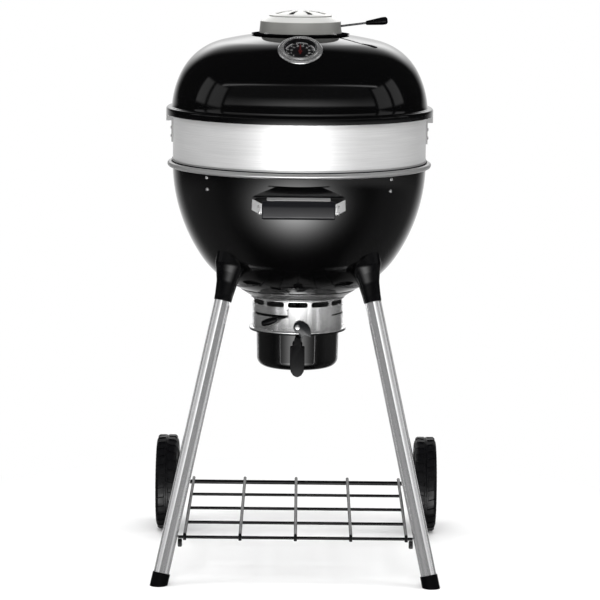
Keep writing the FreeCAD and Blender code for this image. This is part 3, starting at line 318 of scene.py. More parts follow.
# --------------------------------------------------------------------------- finishes
class Nodes:
    """Short ways to build a material's nodes."""

    def __init__(self, tree):
        self.tree = tree

    def add(self, kind, **inputs):
        node = self.tree.nodes.new(kind)
        for key, value in inputs.items():
            self.set(node.inputs[key.replace("_", " ")], value)
        return node

    def set(self, socket, value):
        if isinstance(value, bpy.types.NodeSocket):
            self.tree.links.new(value, socket)
        else:
            socket.default_value = value

    def maths(self, operation, first, second=0.0):
        node = self.tree.nodes.new("ShaderNodeMath")
        node.operation = operation
        for socket, value in zip(node.inputs, (first, second)):
            self.set(socket, value)
        return node.outputs[0]

    def plus(self, first, second):
        return self.maths("ADD", first, second)

    def minus(self, first, second):
        return self.maths("SUBTRACT", first, second)

    def times(self, *values):
        """The product of two or more values."""
        total = values[0]
        for value in values[1:]:
            total = self.maths("MULTIPLY", total, value)
        return total

    def ramp(self, value, stops):
        """A soft step between two (place, level) stops."""
        node = self.tree.nodes.new("ShaderNodeMapRange")
        node.interpolation_type = "SMOOTHSTEP"
        (low, first), (high, last) = stops
        for socket, number in zip(node.inputs, (value, low, high, first, last)):
            self.set(socket, number)
        return node.outputs[0]

    def noise(self, vector, scale, detail=3.0, roughness=0.5):
        node = self.add("ShaderNodeTexNoise", Vector=vector, Scale=scale, Detail=detail,
                        Roughness=roughness)
        return node.outputs["Fac"]

    def place(self):
        """Where a point is on the object at rest, in metres."""
        return self.tree.nodes.new("ShaderNodeTexCoord").outputs["Object"]

    def split(self, vector):
        node = self.add("ShaderNodeSeparateXYZ", Vector=vector)
        return node.outputs

    def pack(self, x, y, z):
        return self.add("ShaderNodeCombineXYZ", X=x, Y=y, Z=z).outputs[0]

    def stretched(self, vector, x, y, z):
        node = self.add("ShaderNodeVectorMath", Vector=vector)
        node.operation = "MULTIPLY"
        node.inputs[1].default_value = (x, y, z)
        return node.outputs[0]

    def mix(self, share, first, second):
        node = self.tree.nodes.new("ShaderNodeMix")
        node.data_type = "RGBA"
        self.set(node.inputs[0], share)
        self.set(node.inputs[6], first)
        self.set(node.inputs[7], second)
        return node.outputs[2]


def surface(name, color, rough, metallic=0.0):
    material = bpy.data.materials.new(name)
    material.use_nodes = True
    tree = material.node_tree
    shader = tree.nodes["Principled BSDF"]
    shader.inputs["Base Color"].default_value = (*color, 1)
    shader.inputs["Roughness"].default_value = rough
    shader.inputs["Metallic"].default_value = metallic
    return material, Nodes(tree), shader


def bumped(nodes, shader, height, strength, distance=0.0002):
    bump = nodes.add("ShaderNodeBump", Height=height, Strength=strength, Distance=distance)
    nodes.set(shader.inputs["Normal"], bump.outputs[0])


def enamel(name):
    """Glossy black porcelain enamel with the faintest unevenness."""
    rough = 0.07
    material, nodes, shader = surface(name, (0.0012, 0.0012, 0.0013), rough)
    place = nodes.place()
    soft = nodes.noise(place, 9.0, 2.0)
    nodes.set(shader.inputs["Roughness"], nodes.ramp(soft, [(0.3, rough * 0.8),
                                                            (0.7, rough * 1.3)]))
    bumped(nodes, shader, nodes.noise(place, 260.0, 1.0), 0.012)
    return material


def brushed_round(name, color, rough, strength=0.25, streak=0.10, share=1.0):
    """Steel brushed around the kettle's axis. The share below one is a satin, scattering part."""
    material, nodes, shader = surface(name, color, rough, share)
    x, y, z = nodes.split(nodes.place())
    turn = nodes.maths("ARCTAN2", x, nodes.minus(y, AXIS_Y * MM))

    def streaks_of(around, start, upward, detail):
        vector = nodes.pack(nodes.times(turn, around), start, nodes.times(z, upward))
        return nodes.noise(vector, 1.0, detail, 0.6)

    fine = streaks_of(2.6, 0.0, 900.0, 5.0)
    broad = streaks_of(1.3, 1.0, 260.0, 3.0)
    streaks = nodes.plus(nodes.times(fine, 0.6), nodes.times(broad, 0.4))
    roughness = nodes.ramp(streaks, [(0.3, rough - 0.06), (0.7, rough + 0.08)])
    nodes.set(shader.inputs["Roughness"], roughness)
    dark = tuple(channel * (1 - streak) for channel in color)
    nodes.set(shader.inputs["Base Color"],
              nodes.mix(nodes.ramp(streaks, [(0.35, 0.0), (0.65, 1.0)]),
                                                     (*dark, 1), (*color, 1)))
    shader.inputs["Anisotropic"].default_value = 0.6
    tangent = nodes.tree.nodes.new("ShaderNodeTangent")
    tangent.direction_type = "RADIAL"
    tangent.axis = "Z"
    nodes.set(shader.inputs["Tangent"], tangent.outputs[0])
    bumped(nodes, shader, fine, strength, 0.0001)
    return material


def metal(name, color, rough, grain=0.08, scale=120.0, stretch=(1.0, 1.0, 1.0), share=1.0):
    """Plain metal with a fine grain. The share below one is a satin, scattering part."""
    material, nodes, shader = surface(name, color, rough, share)
    grainy = nodes.noise(nodes.stretched(nodes.place(), *stretch), scale, 4.0)
    nodes.set(shader.inputs["Roughness"], nodes.ramp(grainy, [(0.3, rough * 0.85),
                                                              (0.7, rough * 1.2)]))
    bumped(nodes, shader, grainy, grain, 0.0001)
    return material


def moulded(name, color, rough, grain=0.2, gloss=0.5):
    """Moulded plastic or rubber with a fine grain."""
    material, nodes, shader = surface(name, color, rough)
    shader.inputs["Specular IOR Level"].default_value = gloss
    place = nodes.place()
    grainy = nodes.noise(place, 900.0, 2.0)
    patchy = nodes.noise(place, 25.0, 2.0)
    nodes.set(shader.inputs["Roughness"], nodes.ramp(patchy, [(0.3, rough * 0.9),
                                                              (0.7, rough * 1.12)]))
    bumped(nodes, shader, grainy, grain, 0.0002)
    return material


def cast_cap_lit_top(name, side, top, rough):
    """Cast metal whose upper faces carry a painted highlight: a lighter colour, blended in by how
    much a face looks up, stands in for the light from above.
    """
    material, nodes, shader = surface(name, side, rough, 0.6)
    painted_top_light_share = nodes.split(nodes.tree.nodes.new("ShaderNodeTexCoord").outputs["Normal"])[2]
    # Painted highlight: faces that look up take the lighter colour, standing in for light from
    # above.
    nodes.set(shader.inputs["Base Color"], nodes.mix(nodes.ramp(painted_top_light_share, [(0.25, 0.0), (0.7, 1.0)]),
                                                     (*side, 1), (*top, 1)))
    bumped(nodes, shader, nodes.noise(nodes.place(), 700.0, 4.0), 0.05, 0.0001)
    return material


def glass(name):
    material, nodes, shader = surface(name, (0.0, 0.0, 0.0), 0.01)
    shader.inputs["IOR"].default_value = 1.45
    shader.inputs["Alpha"].default_value = 0.15
    bumped(nodes, shader, nodes.noise(nodes.place(), 40.0, 1.0), 0.01)
    return material


LOOKS = {
    "black_enamel": enamel("black_enamel"),
    "band_steel": brushed_round("band_steel", (0.72, 0.72, 0.72), 0.34, 0.16, 0.14, 0.50),
    "rim_steel": brushed_round("rim_steel", (0.50, 0.50, 0.50), 0.34, 0.0, 0.05, 0.75),
    "vent_ring_steel": brushed_round("vent_ring_steel", (0.78, 0.78, 0.78), 0.19, 0.06, 0.05, 0.88),
    # The vent cap's second colour is a painted highlight for its upper faces.
    "vent_cap_metal": cast_cap_lit_top("vent_cap_metal", (0.33, 0.33, 0.315), (0.80, 0.80, 0.78), 0.42),
    "black_metal": moulded("black_metal", (0.001, 0.001, 0.0012), 0.20, 0.02, gloss=0.15),
    "black_plastic": moulded("black_plastic", (0.0015, 0.0015, 0.0018), 0.32, 0.1, gloss=0.09),
    "grip_plastic": moulded("grip_plastic", (0.006, 0.006, 0.0075), 0.32, 0.08, gloss=0.3),
    "socket_plastic": moulded("socket_plastic", (0.0015, 0.0015, 0.0018), 0.22, 0.03, gloss=0.17),
    "leg_chrome": metal("leg_chrome", (0.88, 0.88, 0.89), 0.06, 0.02, 60.0, share=0.81),
    "tyre_rubber": moulded("tyre_rubber", (0.003, 0.003, 0.0036), 0.44, 0.15, gloss=0.3),
    "hub_plastic": moulded("hub_plastic", (0.004, 0.004, 0.005), 0.40, gloss=0.3),
    "shelf_wire": moulded("shelf_wire", (0.0015, 0.0015, 0.0018), 0.34, 0.03, gloss=0.2),
    "grate_wire": metal("grate_wire", (0.58, 0.58, 0.58), 0.22),
    "screw_steel": metal("screw_steel", (0.45, 0.45, 0.45), 0.28, share=0.75),
    "bracket_steel": metal("bracket_steel", (0.78, 0.78, 0.78), 0.34, 0.04, 60.0, (1.0, 1.0, 6.0),
                           0.5),
    "bezel_steel": metal("bezel_steel", (0.66, 0.66, 0.66), 0.22, 0.0, 30.0, share=0.9),
    "dial_face": moulded("dial_face", (0.006, 0.006, 0.007), 0.45, 0.02),
    "needle_red": moulded("needle_red", (0.10, 0.010, 0.010), 0.35, 0.02),
    "gauge_glass": glass("gauge_glass"),
    "gasket_rubber": moulded("gasket_rubber", (0.012, 0.012, 0.012), 0.6),
    "lever_wire": metal("lever_wire", (0.22, 0.22, 0.23), 0.30),
    "latch_metal": moulded("latch_metal", (0.005, 0.006, 0.0075), 0.24, 0.03, gloss=0.28),
}
tab_steel = metal("tab_steel", (0.27, 0.27, 0.27), 0.35, 0.05, share=0.7)
plate_black = moulded("plate_black", (0.002, 0.002, 0.0024), 0.5, 0.03, gloss=0.0)
collar_steel = brushed_round("collar_steel", (0.26, 0.26, 0.26), 0.24, 0.04, 0.05, 0.85)
dial_print = moulded("dial_print", (0.75, 0.75, 0.75), 0.5, 0.02)


# --------------------------------------------------------------------------- lid
LID_SIDE, LID_SHOULDER, BOWL_UPPER, BOWL_LOWER = 203.6, 137.5, 382.0, 200.0
LID_TURNS, BOWL_TURN = (26.2, 77), 34
HINGE_Y, HINGE_Z = 312.0, 1020.0
BOWL_TOP, BAND_TOP, BAND_RADIUS, FLOOR_RADIUS = 910.0, 1031.7, 285.0, 131.0
RING_RADIUS, RING_INNER = 103.0, 101.5


def shell_arcs():
    """The centres of the lid's and the bowl's arcs and the crown's radius, as in the CAD part."""
    bend, last = LID_TURNS
    step = LID_SIDE - LID_SHOULDER
    lid = (84.7, HINGE_Z)
    shoulder = (lid[0] + step * cos(bend), lid[1] + step * sin(bend))
    edge = (shoulder[0] + LID_SHOULDER * cos(last), shoulder[1] + LID_SHOULDER * sin(last))
    crown = edge[0] / cos(last)
    upper = (-96.3, BOWL_TOP)
    drop = BOWL_UPPER - BOWL_LOWER
    lower = (upper[0] + drop * cos(BOWL_TURN), upper[1] - drop * sin(BOWL_TURN))
    return lid, shoulder, (0.0, edge[1] - crown * sin(last)), crown, upper, lower


LID_AT, SHOULDER_AT, CROWN_AT, CROWN, UPPER_AT, LOWER_AT = shell_arcs()
LID_TOP = CROWN_AT[1] + CROWN
FLOOR = LOWER_AT[1] - math.sqrt(BOWL_LOWER ** 2 - (FLOOR_RADIUS - LOWER_AT[0]) ** 2)
RING_TOP = FLOOR - 16.8
RING_LOW = RING_TOP - 74.4
LEVER_Z = RING_LOW + 37.5
LATCH_Z = RING_LOW + 16
GAUGE = Matrix.Translation((0, -200.0, LID_TOP - 30.5)) @ Matrix.Rotation(math.radians(32.7), 4,
                                                                          "X")


def dome_line(inset):
    """The lid's section from its foot to its crown."""
    bend, last = LID_TURNS
    foot = math.degrees(math.asin(16.0 / (LID_SIDE - inset)))
    line = arc(LID_AT, LID_SIDE - inset, foot, bend, 14)
    line += arc(SHOULDER_AT, LID_SHOULDER - inset, bend, last, 28)[1:]
    return line + arc(CROWN_AT, CROWN - inset, last, 90, 22)[1:]


def crown_height(distance, rise=0.0):
    return CROWN_AT[1] + math.sqrt((CROWN + rise) ** 2 - distance ** 2)


def vent_cuts(low, high):
    """Cutting shapes for the four vent holes."""
    hole = cylinder(17.0, low, high, 40)
    return [hole.at(*on_circle(48.0, turn, 0)) for turn in (45, 135, 225, 315)]


def build_lid():
    outer, inner = dome_line(0.0), dome_line(2.0)
    foot_out, foot_in = outer[0][0], inner[0][0]
    lip = rounded([(foot_in, 1036.0), (foot_in, 1032.1), (298.5, 1032.1), (298.5, 1018.6),
                   (298.9, 1017.1), (300.6, 1017.1), (300.6, 1034.0), (foot_out + 1.0, 1034.0),
                   (foot_out, 1038.5)],
                  [0, 1.0, 4.0, 0.6, 0.6, 1.0, 6.0, 3.0, 0], 8, closed=False)
    profile = inner[::-1] + lip[1:-1] + outer[1:]
    gauge_hole = cylinder(36.2, -45, 40, 64).by(GAUGE)
    add("lid_dome", lathe(profile, 224), "black_enamel", "lid", ["lid"],
        vent_cuts(LID_TOP - 30, LID_TOP + 6) + [gauge_hole])


def build_hinge():
    y, z = HINGE_Y, HINGE_Z
    eye = [(3.95, 0), (8.0, 0), (8.0, 29.0), (3.95, 29.0)]
    rounded_eye = lathe(rounded(eye, [0, 1.0, 1.0, 0], 4), 40)
    middle = rounded_eye.turned(90, "Y").at(-14.5, y, z)
    plate = slab(rounded([(-32, 925), (32, 925), (32, 1013.5), (-32, 1013.5)], 7, 6), 0, 3)
    plate = plate.upright().at(0, 290.3, 0)
    arm = block((-14.5, 285.2, 1004.3), (14.5, y, 1012.6))
    gusset = slab([(286, 1004), (286, 975), (290, 975), (309, 1004)], -2, 2).sideways()
    ribs = joined([gusset.at(x, 0, 0) for x in (-12, 12)])
    add("hinge_plate", plate + arm + ribs + middle, "black_metal", "stand", ["hinge_base"],
        bevel=0.6)
    pin = lathe([(0, 0), (5.4, 0), (6.0, 0.8), (6.0, 2.2), (4.0, 2.4), (4.0, 83.0), (6.0, 83.4),
                 (6.0, 84.6), (5.2, 85.6), (0, 86.0)], 32)
    add("hinge_rod", pin.turned(90, "Y").at(-43.0, y, z), "screw_steel", "stand", ["hinge_pin"])
    outline = [(274, 1037.5), (303.5, 1037.5), (304.0, z), (y + 8.0, z), (y + 8.0, 1048.0),
               (291.7, 1076.0), (274, 1076.0)]
    side = slab(rounded(outline, [0, 1.5, 0, 0, 9.0, 5.0, 0], 6), 0, 25.0)
    side = side.sideways().at(15.0, 0, 0)
    knuckle = lathe(rounded([(4.06, 0), (8.0, 0), (8.0, 25.0), (4.06, 25.0)], [0, 1, 1, 0], 4), 40)
    side = side + knuckle.turned(90, "Y").at(15.0, y, z)
    bridge = block((-16, 274, 1052), (16, 290.7, 1076))
    solid_lid = lathe([(0, 1030)] + [(r + 0.1, h) for r, h in dome_line(0.0)] + [(0, LID_TOP)], 96)
    add("lid_hinge_arms", both_sides(side) + bridge, "black_metal", "lid", ["lid_hinge_bracket"],
        [solid_lid])


build_lid()
build_hinge()


# --------------------------------------------------------------------------- top vent
def build_vent():
    def along(places, rise):
        return [(place, crown_height(place, rise)) for place in places]

    edge = crown_height(86, 0.1)
    plate = along([4.2, *range(9, 86, 7)], 0.1)
    plate += [(86, edge), (109.6, edge - 0.8), (110.0, edge - 0.3), (109.5, edge + 0.2),
              (86, crown_height(86, 1.7))]
    plate += along([*range(79, 8, -7), 4.2], 1.7)
    add("vent_plate", lathe(plate, 128), "black_metal", "lid", ["vent_base_plate"],
        vent_cuts(LID_TOP - 30, LID_TOP + 12), finish=plate_black)
    leaf = along([4.2, *range(10, 78, 8), 77.6], 2.0) + along([78.0], 2.7) + along([77.6], 3.4)
    leaf += along([*range(74, 8, -8), 4.2], 3.5)
    add("vent_leaf", lathe(leaf, 96), "bracket_steel", "top_damper", (),
        vent_cuts(LID_TOP - 30, LID_TOP + 12))
    lug = block((53, -6, LID_TOP + 0.7), (64, 6, LID_TOP + 11.0))
    add("vent_lug", lug, "bracket_steel", "top_damper", ["vent_damper"], bevel=1.2)
    slope = math.tan(math.radians(7.5))

    def on_rod(distance):
        return Vector((50.0 + distance, 0, LID_TOP + 7.3 + distance * slope))

    add("vent_rod", wire([on_rod(2), on_rod(99)], 2.4), "lever_wire", "top_damper",
        ["vent_lever_rod"])
    grip = rounded([(0, 0), (4.3, 0), (5.0, 3), (8.8, 37), (8.6, 45.5), (5.0, 49), (0, 49)],
                   [0, 1.2, 2, 14, 4.0, 3.0, 0], 6, closed=False)
    matrix = Matrix.Translation(on_rod(96.5)) @ Matrix.Rotation(math.radians(82.5), 4, "Y")
    add("vent_grip", lathe(grip, 40).by(matrix), "black_plastic", "top_damper",
        ["vent_lever_grip"])
    build_vent_cap()


def build_vent_cap():
    low = crown_height(92.6, 1.7) + 0.6
    high = low + 26.5
    top = high + 12.2
    outline = rounded([(91.1, low), (92.6, low), (90.1, high), (71.6, top - 1.4), (70.4, top - 1.9),
                       (69.6, top + 1.0), (62.0, top + 3.9), (40.0, top + 8.6), (18.0, top + 10.4),
                       (0, top + 10.7)],
                      [0, 0.5, 3.0, 0.5, 0.3, 0.8, 4.0, 20.0, 12.0, 0], 6, closed=False)
    inside = [(0, top + 8.9), (18.0, top + 8.7), (40.0, top + 6.9), (61.0, top + 2.0),
              (68.0, top - 2.3), (88.4, high - 1.4), (91.1, low)]
    shell = outline + inside[:-1]
    cuts = []
    for step in range(8):
        slot = slab(rounded([(23, -2.6), (59, -6.2), (59, 6.2), (23, 2.6)], [2, 4, 4, 2], 5),
                    high - 6, top + 25)
        cuts.append(slot.turned(22.5 + 45.0 * step))
    window = slab(sector(60, 100, -5, 50, 11), low + 6, low + 19)
    add("vent_cover", lathe(shell, 160), "vent_cap_metal", "lid", ["vent_cap"], cuts + [window])
    ribs = []
    for step in range(8):
        lip = [(22.0, -3.9, 10.2), (40.0, -5.7, 8.5), (60.2, -7.8, 4.2), (61.4, 0, 3.6),
               (60.2, 7.8, 4.2), (40.0, 5.7, 8.5), (22.0, 3.9, 10.2), (20.8, 0, 10.3)]
        line = rounded([Vector((x, y, top + z - 0.4)) for x, y, z in lip], [2, 9, 3, 3, 3, 9, 2,
                                                                            2], 4)
        ribs.append(sweep(line, circle(0.85, 8), closed=True).turned(22.5 + 45.0 * step))
    add("vent_ribs", ribs, "vent_cap_metal", "lid")
    tabs, heads = [], []
    for turn in (40, 140, 220, 320):
        outline = rounded([(90.6, -6), (103.2, -6), (103.2, 6), (90.6, 6)], [0, 5.5, 5.5, 0], 6)
        tabs.append(slab(outline, low + 0.1, low + 1.5).turned(turn))
        heads.append(screw_head(3.5, 2.0, on_circle(98.6, turn, low + 1.6), (0, 0, 1)))
    add("vent_tabs", tabs, "vent_cap_metal", "lid", bevel=0.3)
    add("vent_tab_screws", heads, "screw_steel", "lid", ["vent_screws"])
    bolt = lathe([(0, LID_TOP - 7.0), (6.4, LID_TOP - 7.0), (7.5, LID_TOP - 5.6),
                  (7.5, LID_TOP - 2.3), (4.0, LID_TOP - 2.3), (4.0, LID_TOP + 4.3),
                  (8.0, LID_TOP + 4.3), (8.0, LID_TOP + 7.6), (6.0, LID_TOP + 9.0),
                  (0, LID_TOP + 9.1)], 32)
    add("vent_bolt", bolt, "screw_steel", "lid", ["vent_pivot_bolt"])


def build_gauge():
    """The bezel, its dial with plain numbers, the needle and the glass."""
    rim = rounded([(36.0, -6.0), (36.0, 7.9), (39.5, 8.0), (41.2, 5.2), (46.5, 4.6), (49.4, 1.0),
                   (49.4, -9.0)],
                  [0, 1.2, 1.6, 1.6, 2.6, 2.0, 0], 6, closed=False)
    profile = rim + [(49.4, -22.0), (36.0, -22.0)]
    inner_lid = lathe([(0, 1030)] + [(r - 0.2, h) for r, h in dome_line(0.0)[:-1]]
                      + [(0, LID_TOP - 0.2)], 128)
    add("gauge_bezel", lathe(profile, 96).by(GAUGE), "bezel_steel", "lid", ["thermometer_bezel"],
        [inner_lid])
    cup = rounded([(0, -26.0), (35.7, -26.0), (35.7, 7.4), (34.2, 7.4), (34.2, -24.0), (0, -24.0)],
                  [0, 3.0, 0.5, 0.5, 2.0, 0], 5, closed=False)
    probe = lathe([(0, -86), (2.4, -85.2), (3.5, -82), (3.5, -26), (0, -26)], 24)
    nut = lathe([(3.0, -34), (8.2, -34), (9.0, -33), (9.0, -26.9), (8.2, -25.9), (3.0, -25.9)], 6)
    body = lathe(cup, 72)
    add("gauge_case", (body + probe + nut).by(GAUGE), "bezel_steel", "lid", ["thermometer_case"],
        finish=LOOKS["dial_face"])
    face = lathe([(0, -4.0), (34.0, -4.0), (34.1, -3.0), (0, -3.0)], 72)
    spindle = lathe([(0, -3.9), (1.5, -3.9), (1.5, -0.4), (0, -0.2)], 20)
    add("gauge_face", (face + spindle).by(GAUGE), "dial_face", "lid", ["thermometer_dial"])
    lens = lathe([(0, 4.3), (34.0, 4.3), (34.0, 5.6), (20.0, 6.0), (0, 6.15)], 72)
    add("gauge_lens", lens.by(GAUGE), "gauge_glass", "lid", ["thermometer_lens"])
    pointer = slab([(-1.7, -11), (-0.9, 0), (-1.5, 15), (0, 25.6), (1.5, 15), (0.9, 0),
                    (1.7, -11)], -1.7, -1.0)
    boss = lathe([(1.62, -2.0), (4.3, -2.0), (4.3, -0.9), (3.6, -0.6), (1.62, -0.6)], 28)
    add("gauge_needle", (pointer + boss).by(GAUGE), "needle_red", "thermometer_needle",
        ["thermometer_needle"], bevel=0.15)
    marks = []
    for step in range(37):
        turn = 225.0 - 270.0 * step / 36
        near, wide = (25.5, 0.55) if step % 4 == 0 else (28.4, 0.3)
        marks.append(block((near, -wide, -3.0), (31.2, wide, -2.9)).turned(turn))
    for first, last, near, far in ((165, 120, 31.9, 33.4), (105, 60, 31.9, 33.4),
                                   (45, 0, 31.9, 33.4), (-45, -135, 24.0, 24.8)):
        marks.append(slab(sector(far, near, first, last, 12), -3.0, -2.9))
    add("gauge_marks", joined(marks).by(GAUGE), "dial_face", "lid", finish=dial_print)
    for step in range(0, 10):
        turn = 225.0 - 270.0 * step / 9
        add_number(str(5 * step), 20.4 * cos(turn), 20.4 * sin(turn), 5.4)


def add_number(text, x, y, size):
    """A plain number printed on the dial."""
    font = bpy.data.curves.new("number_" + text, "FONT")
    font.body = text
    font.size = size
    font.align_x = "CENTER"
    font.align_y = "CENTER"
    font.extrude = 0.04
    letters = bpy.data.objects.new("letters", font)
    mesh = bpy.data.meshes.new_from_object(letters)
    bpy.data.objects.remove(letters)
    points = [vertex.co + Vector((x, y, -2.94)) for vertex in mesh.vertices]
    form = Form(points, [polygon.vertices for polygon in mesh.polygons])
    add("gauge_number_" + text, form.by(GAUGE), "dial_face", "lid", finish=dial_print)


build_vent()
build_gauge()


# --------------------------------------------------------------------------- bowl, band and grates
def bowl_line(inset=0.0):
    """The bowl's section from its top to its floor."""
    line = arc(UPPER_AT, BOWL_UPPER - inset, 0, -BOWL_TURN, 26)
    last = math.degrees(math.asin((FLOOR + inset - LOWER_AT[1]) / (BOWL_LOWER - inset)))
    return line + arc(LOWER_AT, BOWL_LOWER - inset, -BOWL_TURN, last, 20)[1:]


def wedge(radius, near, low, high, first, last, steps=10):
    return slab(sector(radius, near, first, last, steps), low, high)


def bowl_radius(height):
    return UPPER_AT[0] + math.sqrt(BOWL_UPPER ** 2 - (BOWL_TOP - height) ** 2)


def build_bowl():
    outer, inner = bowl_line(), bowl_line(2.0)
    profile = [(5.2, FLOOR + 2.0)] + inner[::-1] + outer + [(5.2, FLOOR)]
    holes = [wedge(92, 32, FLOOR - 2, FLOOR + 5, turn - 22, turn + 22) for turn in (90, 210, 330)]
    add("bowl_shell", lathe(profile, 224), "black_enamel", "stand", ["bowl"], holes)
    bead = arc((291.2, 905.4), 6.0, -90, 96, 20)
    ring = [(285.8, 899.4)] + bead + [(288.6, 911.2), (287.0, 911.2), (287.0, 917.0),
                                      (285.8, 917.0)]
    add("rim_ring", lathe(ring, 224), "rim_steel", "stand", ["bowl_rim_ring"])
    # Painted shade: a thin matte black ring where the band meets the rim ring, standing in for the
    # shadow in the gap between them.
    seam_and_shade_strip = lathe([(287.1, 911.3), (288.0, 911.3), (288.3, 912.0), (288.0, 913.4), (287.1, 913.4)],
                 224)
    add("rim_shadow_line", seam_and_shade_strip, "gasket_rubber", "stand", finish=plate_black)
    low, inner, outer, lip = BOWL_TOP + 0.1, BAND_RADIUS - 1.5, BAND_RADIUS, BAND_RADIUS + 5.4
    band = rounded([(inner, low), (outer, low), (outer, BAND_TOP - 1.5), (lip, BAND_TOP - 1.5),
                    (lip, BAND_TOP), (inner, BAND_TOP)], [0, 0.3, 2.0, 0.7, 0.7, 1.4], 5)
    add("steel_band_skin", lathe(band, 224), "band_steel", "stand", ["steel_band"])
    screws = []
    for turn in (45, 135, 225, 315):
        for height in (892.5, 866.5):
            seat = bowl_radius(height) + 0.4
            direction = (cos(turn), sin(turn), 0)
            screws.append(screw_head(3.8, 2.6, on_circle(seat, turn, height), direction))
    add("shell_screws", screws, "screw_steel", "stand", ["bowl_screws"])
    screws = [screw_head(3.8, 2.2, (mark * (BAND_RADIUS + 3), 0, BAND_TOP - drop), (mark, 0, 0))
              for mark in (1, -1) for drop in (47.0, 66.0)]
    add("band_screws", screws, "screw_steel", "stand", finish=LOOKS["lever_wire"])


GRATE_Z, GRATE_RADIUS, FLAP_LINE, FLAP_EDGE = 896.3, 266.0, 143.0, 156.0
COAL_Z, COAL_RADIUS = 742.0, 226.0


def half_chord(radius, distance):
    return math.sqrt(radius ** 2 - distance ** 2)


def hoop(radius, z, middle, spread, steps, size):
    """A bent wire that follows part of a circle."""
    turns = [middle - spread + 2 * spread * step / steps for step in range(steps + 1)]
    return wire([on_circle(radius, t, z) for t in turns], size)


def bars_along(radius, places, z, size, sides=10):
    """Straight bars from front to back, each as long as its place in the circle allows."""
    return [wire([(x, -half_chord(radius, x), z), (x, half_chord(radius, x), z)], size, sides=sides)
            for x in places]


def bars_across(places, z, left, right, size):
    """Straight bars from left to right between two ends that may depend on the place."""
    return [wire([(left(y), y, z), (right(y), y, z)], size, sides=10) for y in places]


def build_wires():
    """The grates, drawn as smooth wires."""
    spread = 90 - math.degrees(math.acos(FLAP_LINE / GRATE_RADIUS))
    edge = half_chord(GRATE_RADIUS, FLAP_LINE) + 2
    bars = [hoop(GRATE_RADIUS, GRATE_Z, middle, spread, 36, 4.0) for middle in (90, 270)]
    bars += [wire([(x, -edge, GRATE_Z), (x, edge, GRATE_Z)], 3.0) for x in (-FLAP_LINE, FLAP_LINE)]
    bars += bars_along(GRATE_RADIUS, range(-120, 121, 15), GRATE_Z, 2.5)
    bars += bars_across((-150, -50, 50, 150), GRATE_Z - 2.5, lambda y: -FLAP_LINE,
                        lambda y: FLAP_LINE, 2.5)
    add("cooking_wires", bars, "grate_wire", "stand", ["cooking_grate"])
    eye = lathe([(3.08, -6), (5.1, -6), (5.4, -5.6), (5.4, 5.6), (5.1, 6), (3.08, 6)], 28).upright()
    spread = math.degrees(math.acos(FLAP_EDGE / GRATE_RADIUS))
    parts = [hoop(GRATE_RADIUS, GRATE_Z, 0, spread, 48, 4.0)]
    parts += bars_along(GRATE_RADIUS, [FLAP_EDGE], GRATE_Z, 3.0, 14)
    parts += bars_along(GRATE_RADIUS, [FLAP_EDGE + 16 * step for step in range(1, 6)], GRATE_Z, 2.5)
    parts += bars_across((-100, 0, 100), GRATE_Z, lambda y: FLAP_EDGE,
                         lambda y: half_chord(GRATE_RADIUS, y), 2.5)
    for y in (-100, 100):
        parts += bars_across([y], GRATE_Z, lambda y: FLAP_LINE + 4.5, lambda y: FLAP_EDGE, 2.5)
        parts.append(eye.at(FLAP_LINE, y, GRATE_Z))
    flap = joined(parts)
    for name, form in (("right", flap), ("left", flap.mirrored())):
        add("flap_wires_" + name, form, "grate_wire", name + "_flap", ["grate_flap_" + name])
    ring = [on_circle(COAL_RADIUS, 5 * k, COAL_Z) for k in range(72)]
    bars = [wire(ring, 3.5, closed=True)] + bars_along(COAL_RADIUS, range(-210, 211, 30), COAL_Z,
                                                       3.0)
    bars += bars_across((-110, 110), COAL_Z - 5, lambda y: -half_chord(COAL_RADIUS, y),
                        lambda y: half_chord(COAL_RADIUS, y), 3.0)
    add("charcoal_wires", bars, "grate_wire", "stand", ["charcoal_grate"])


build_bowl()
build_wires()


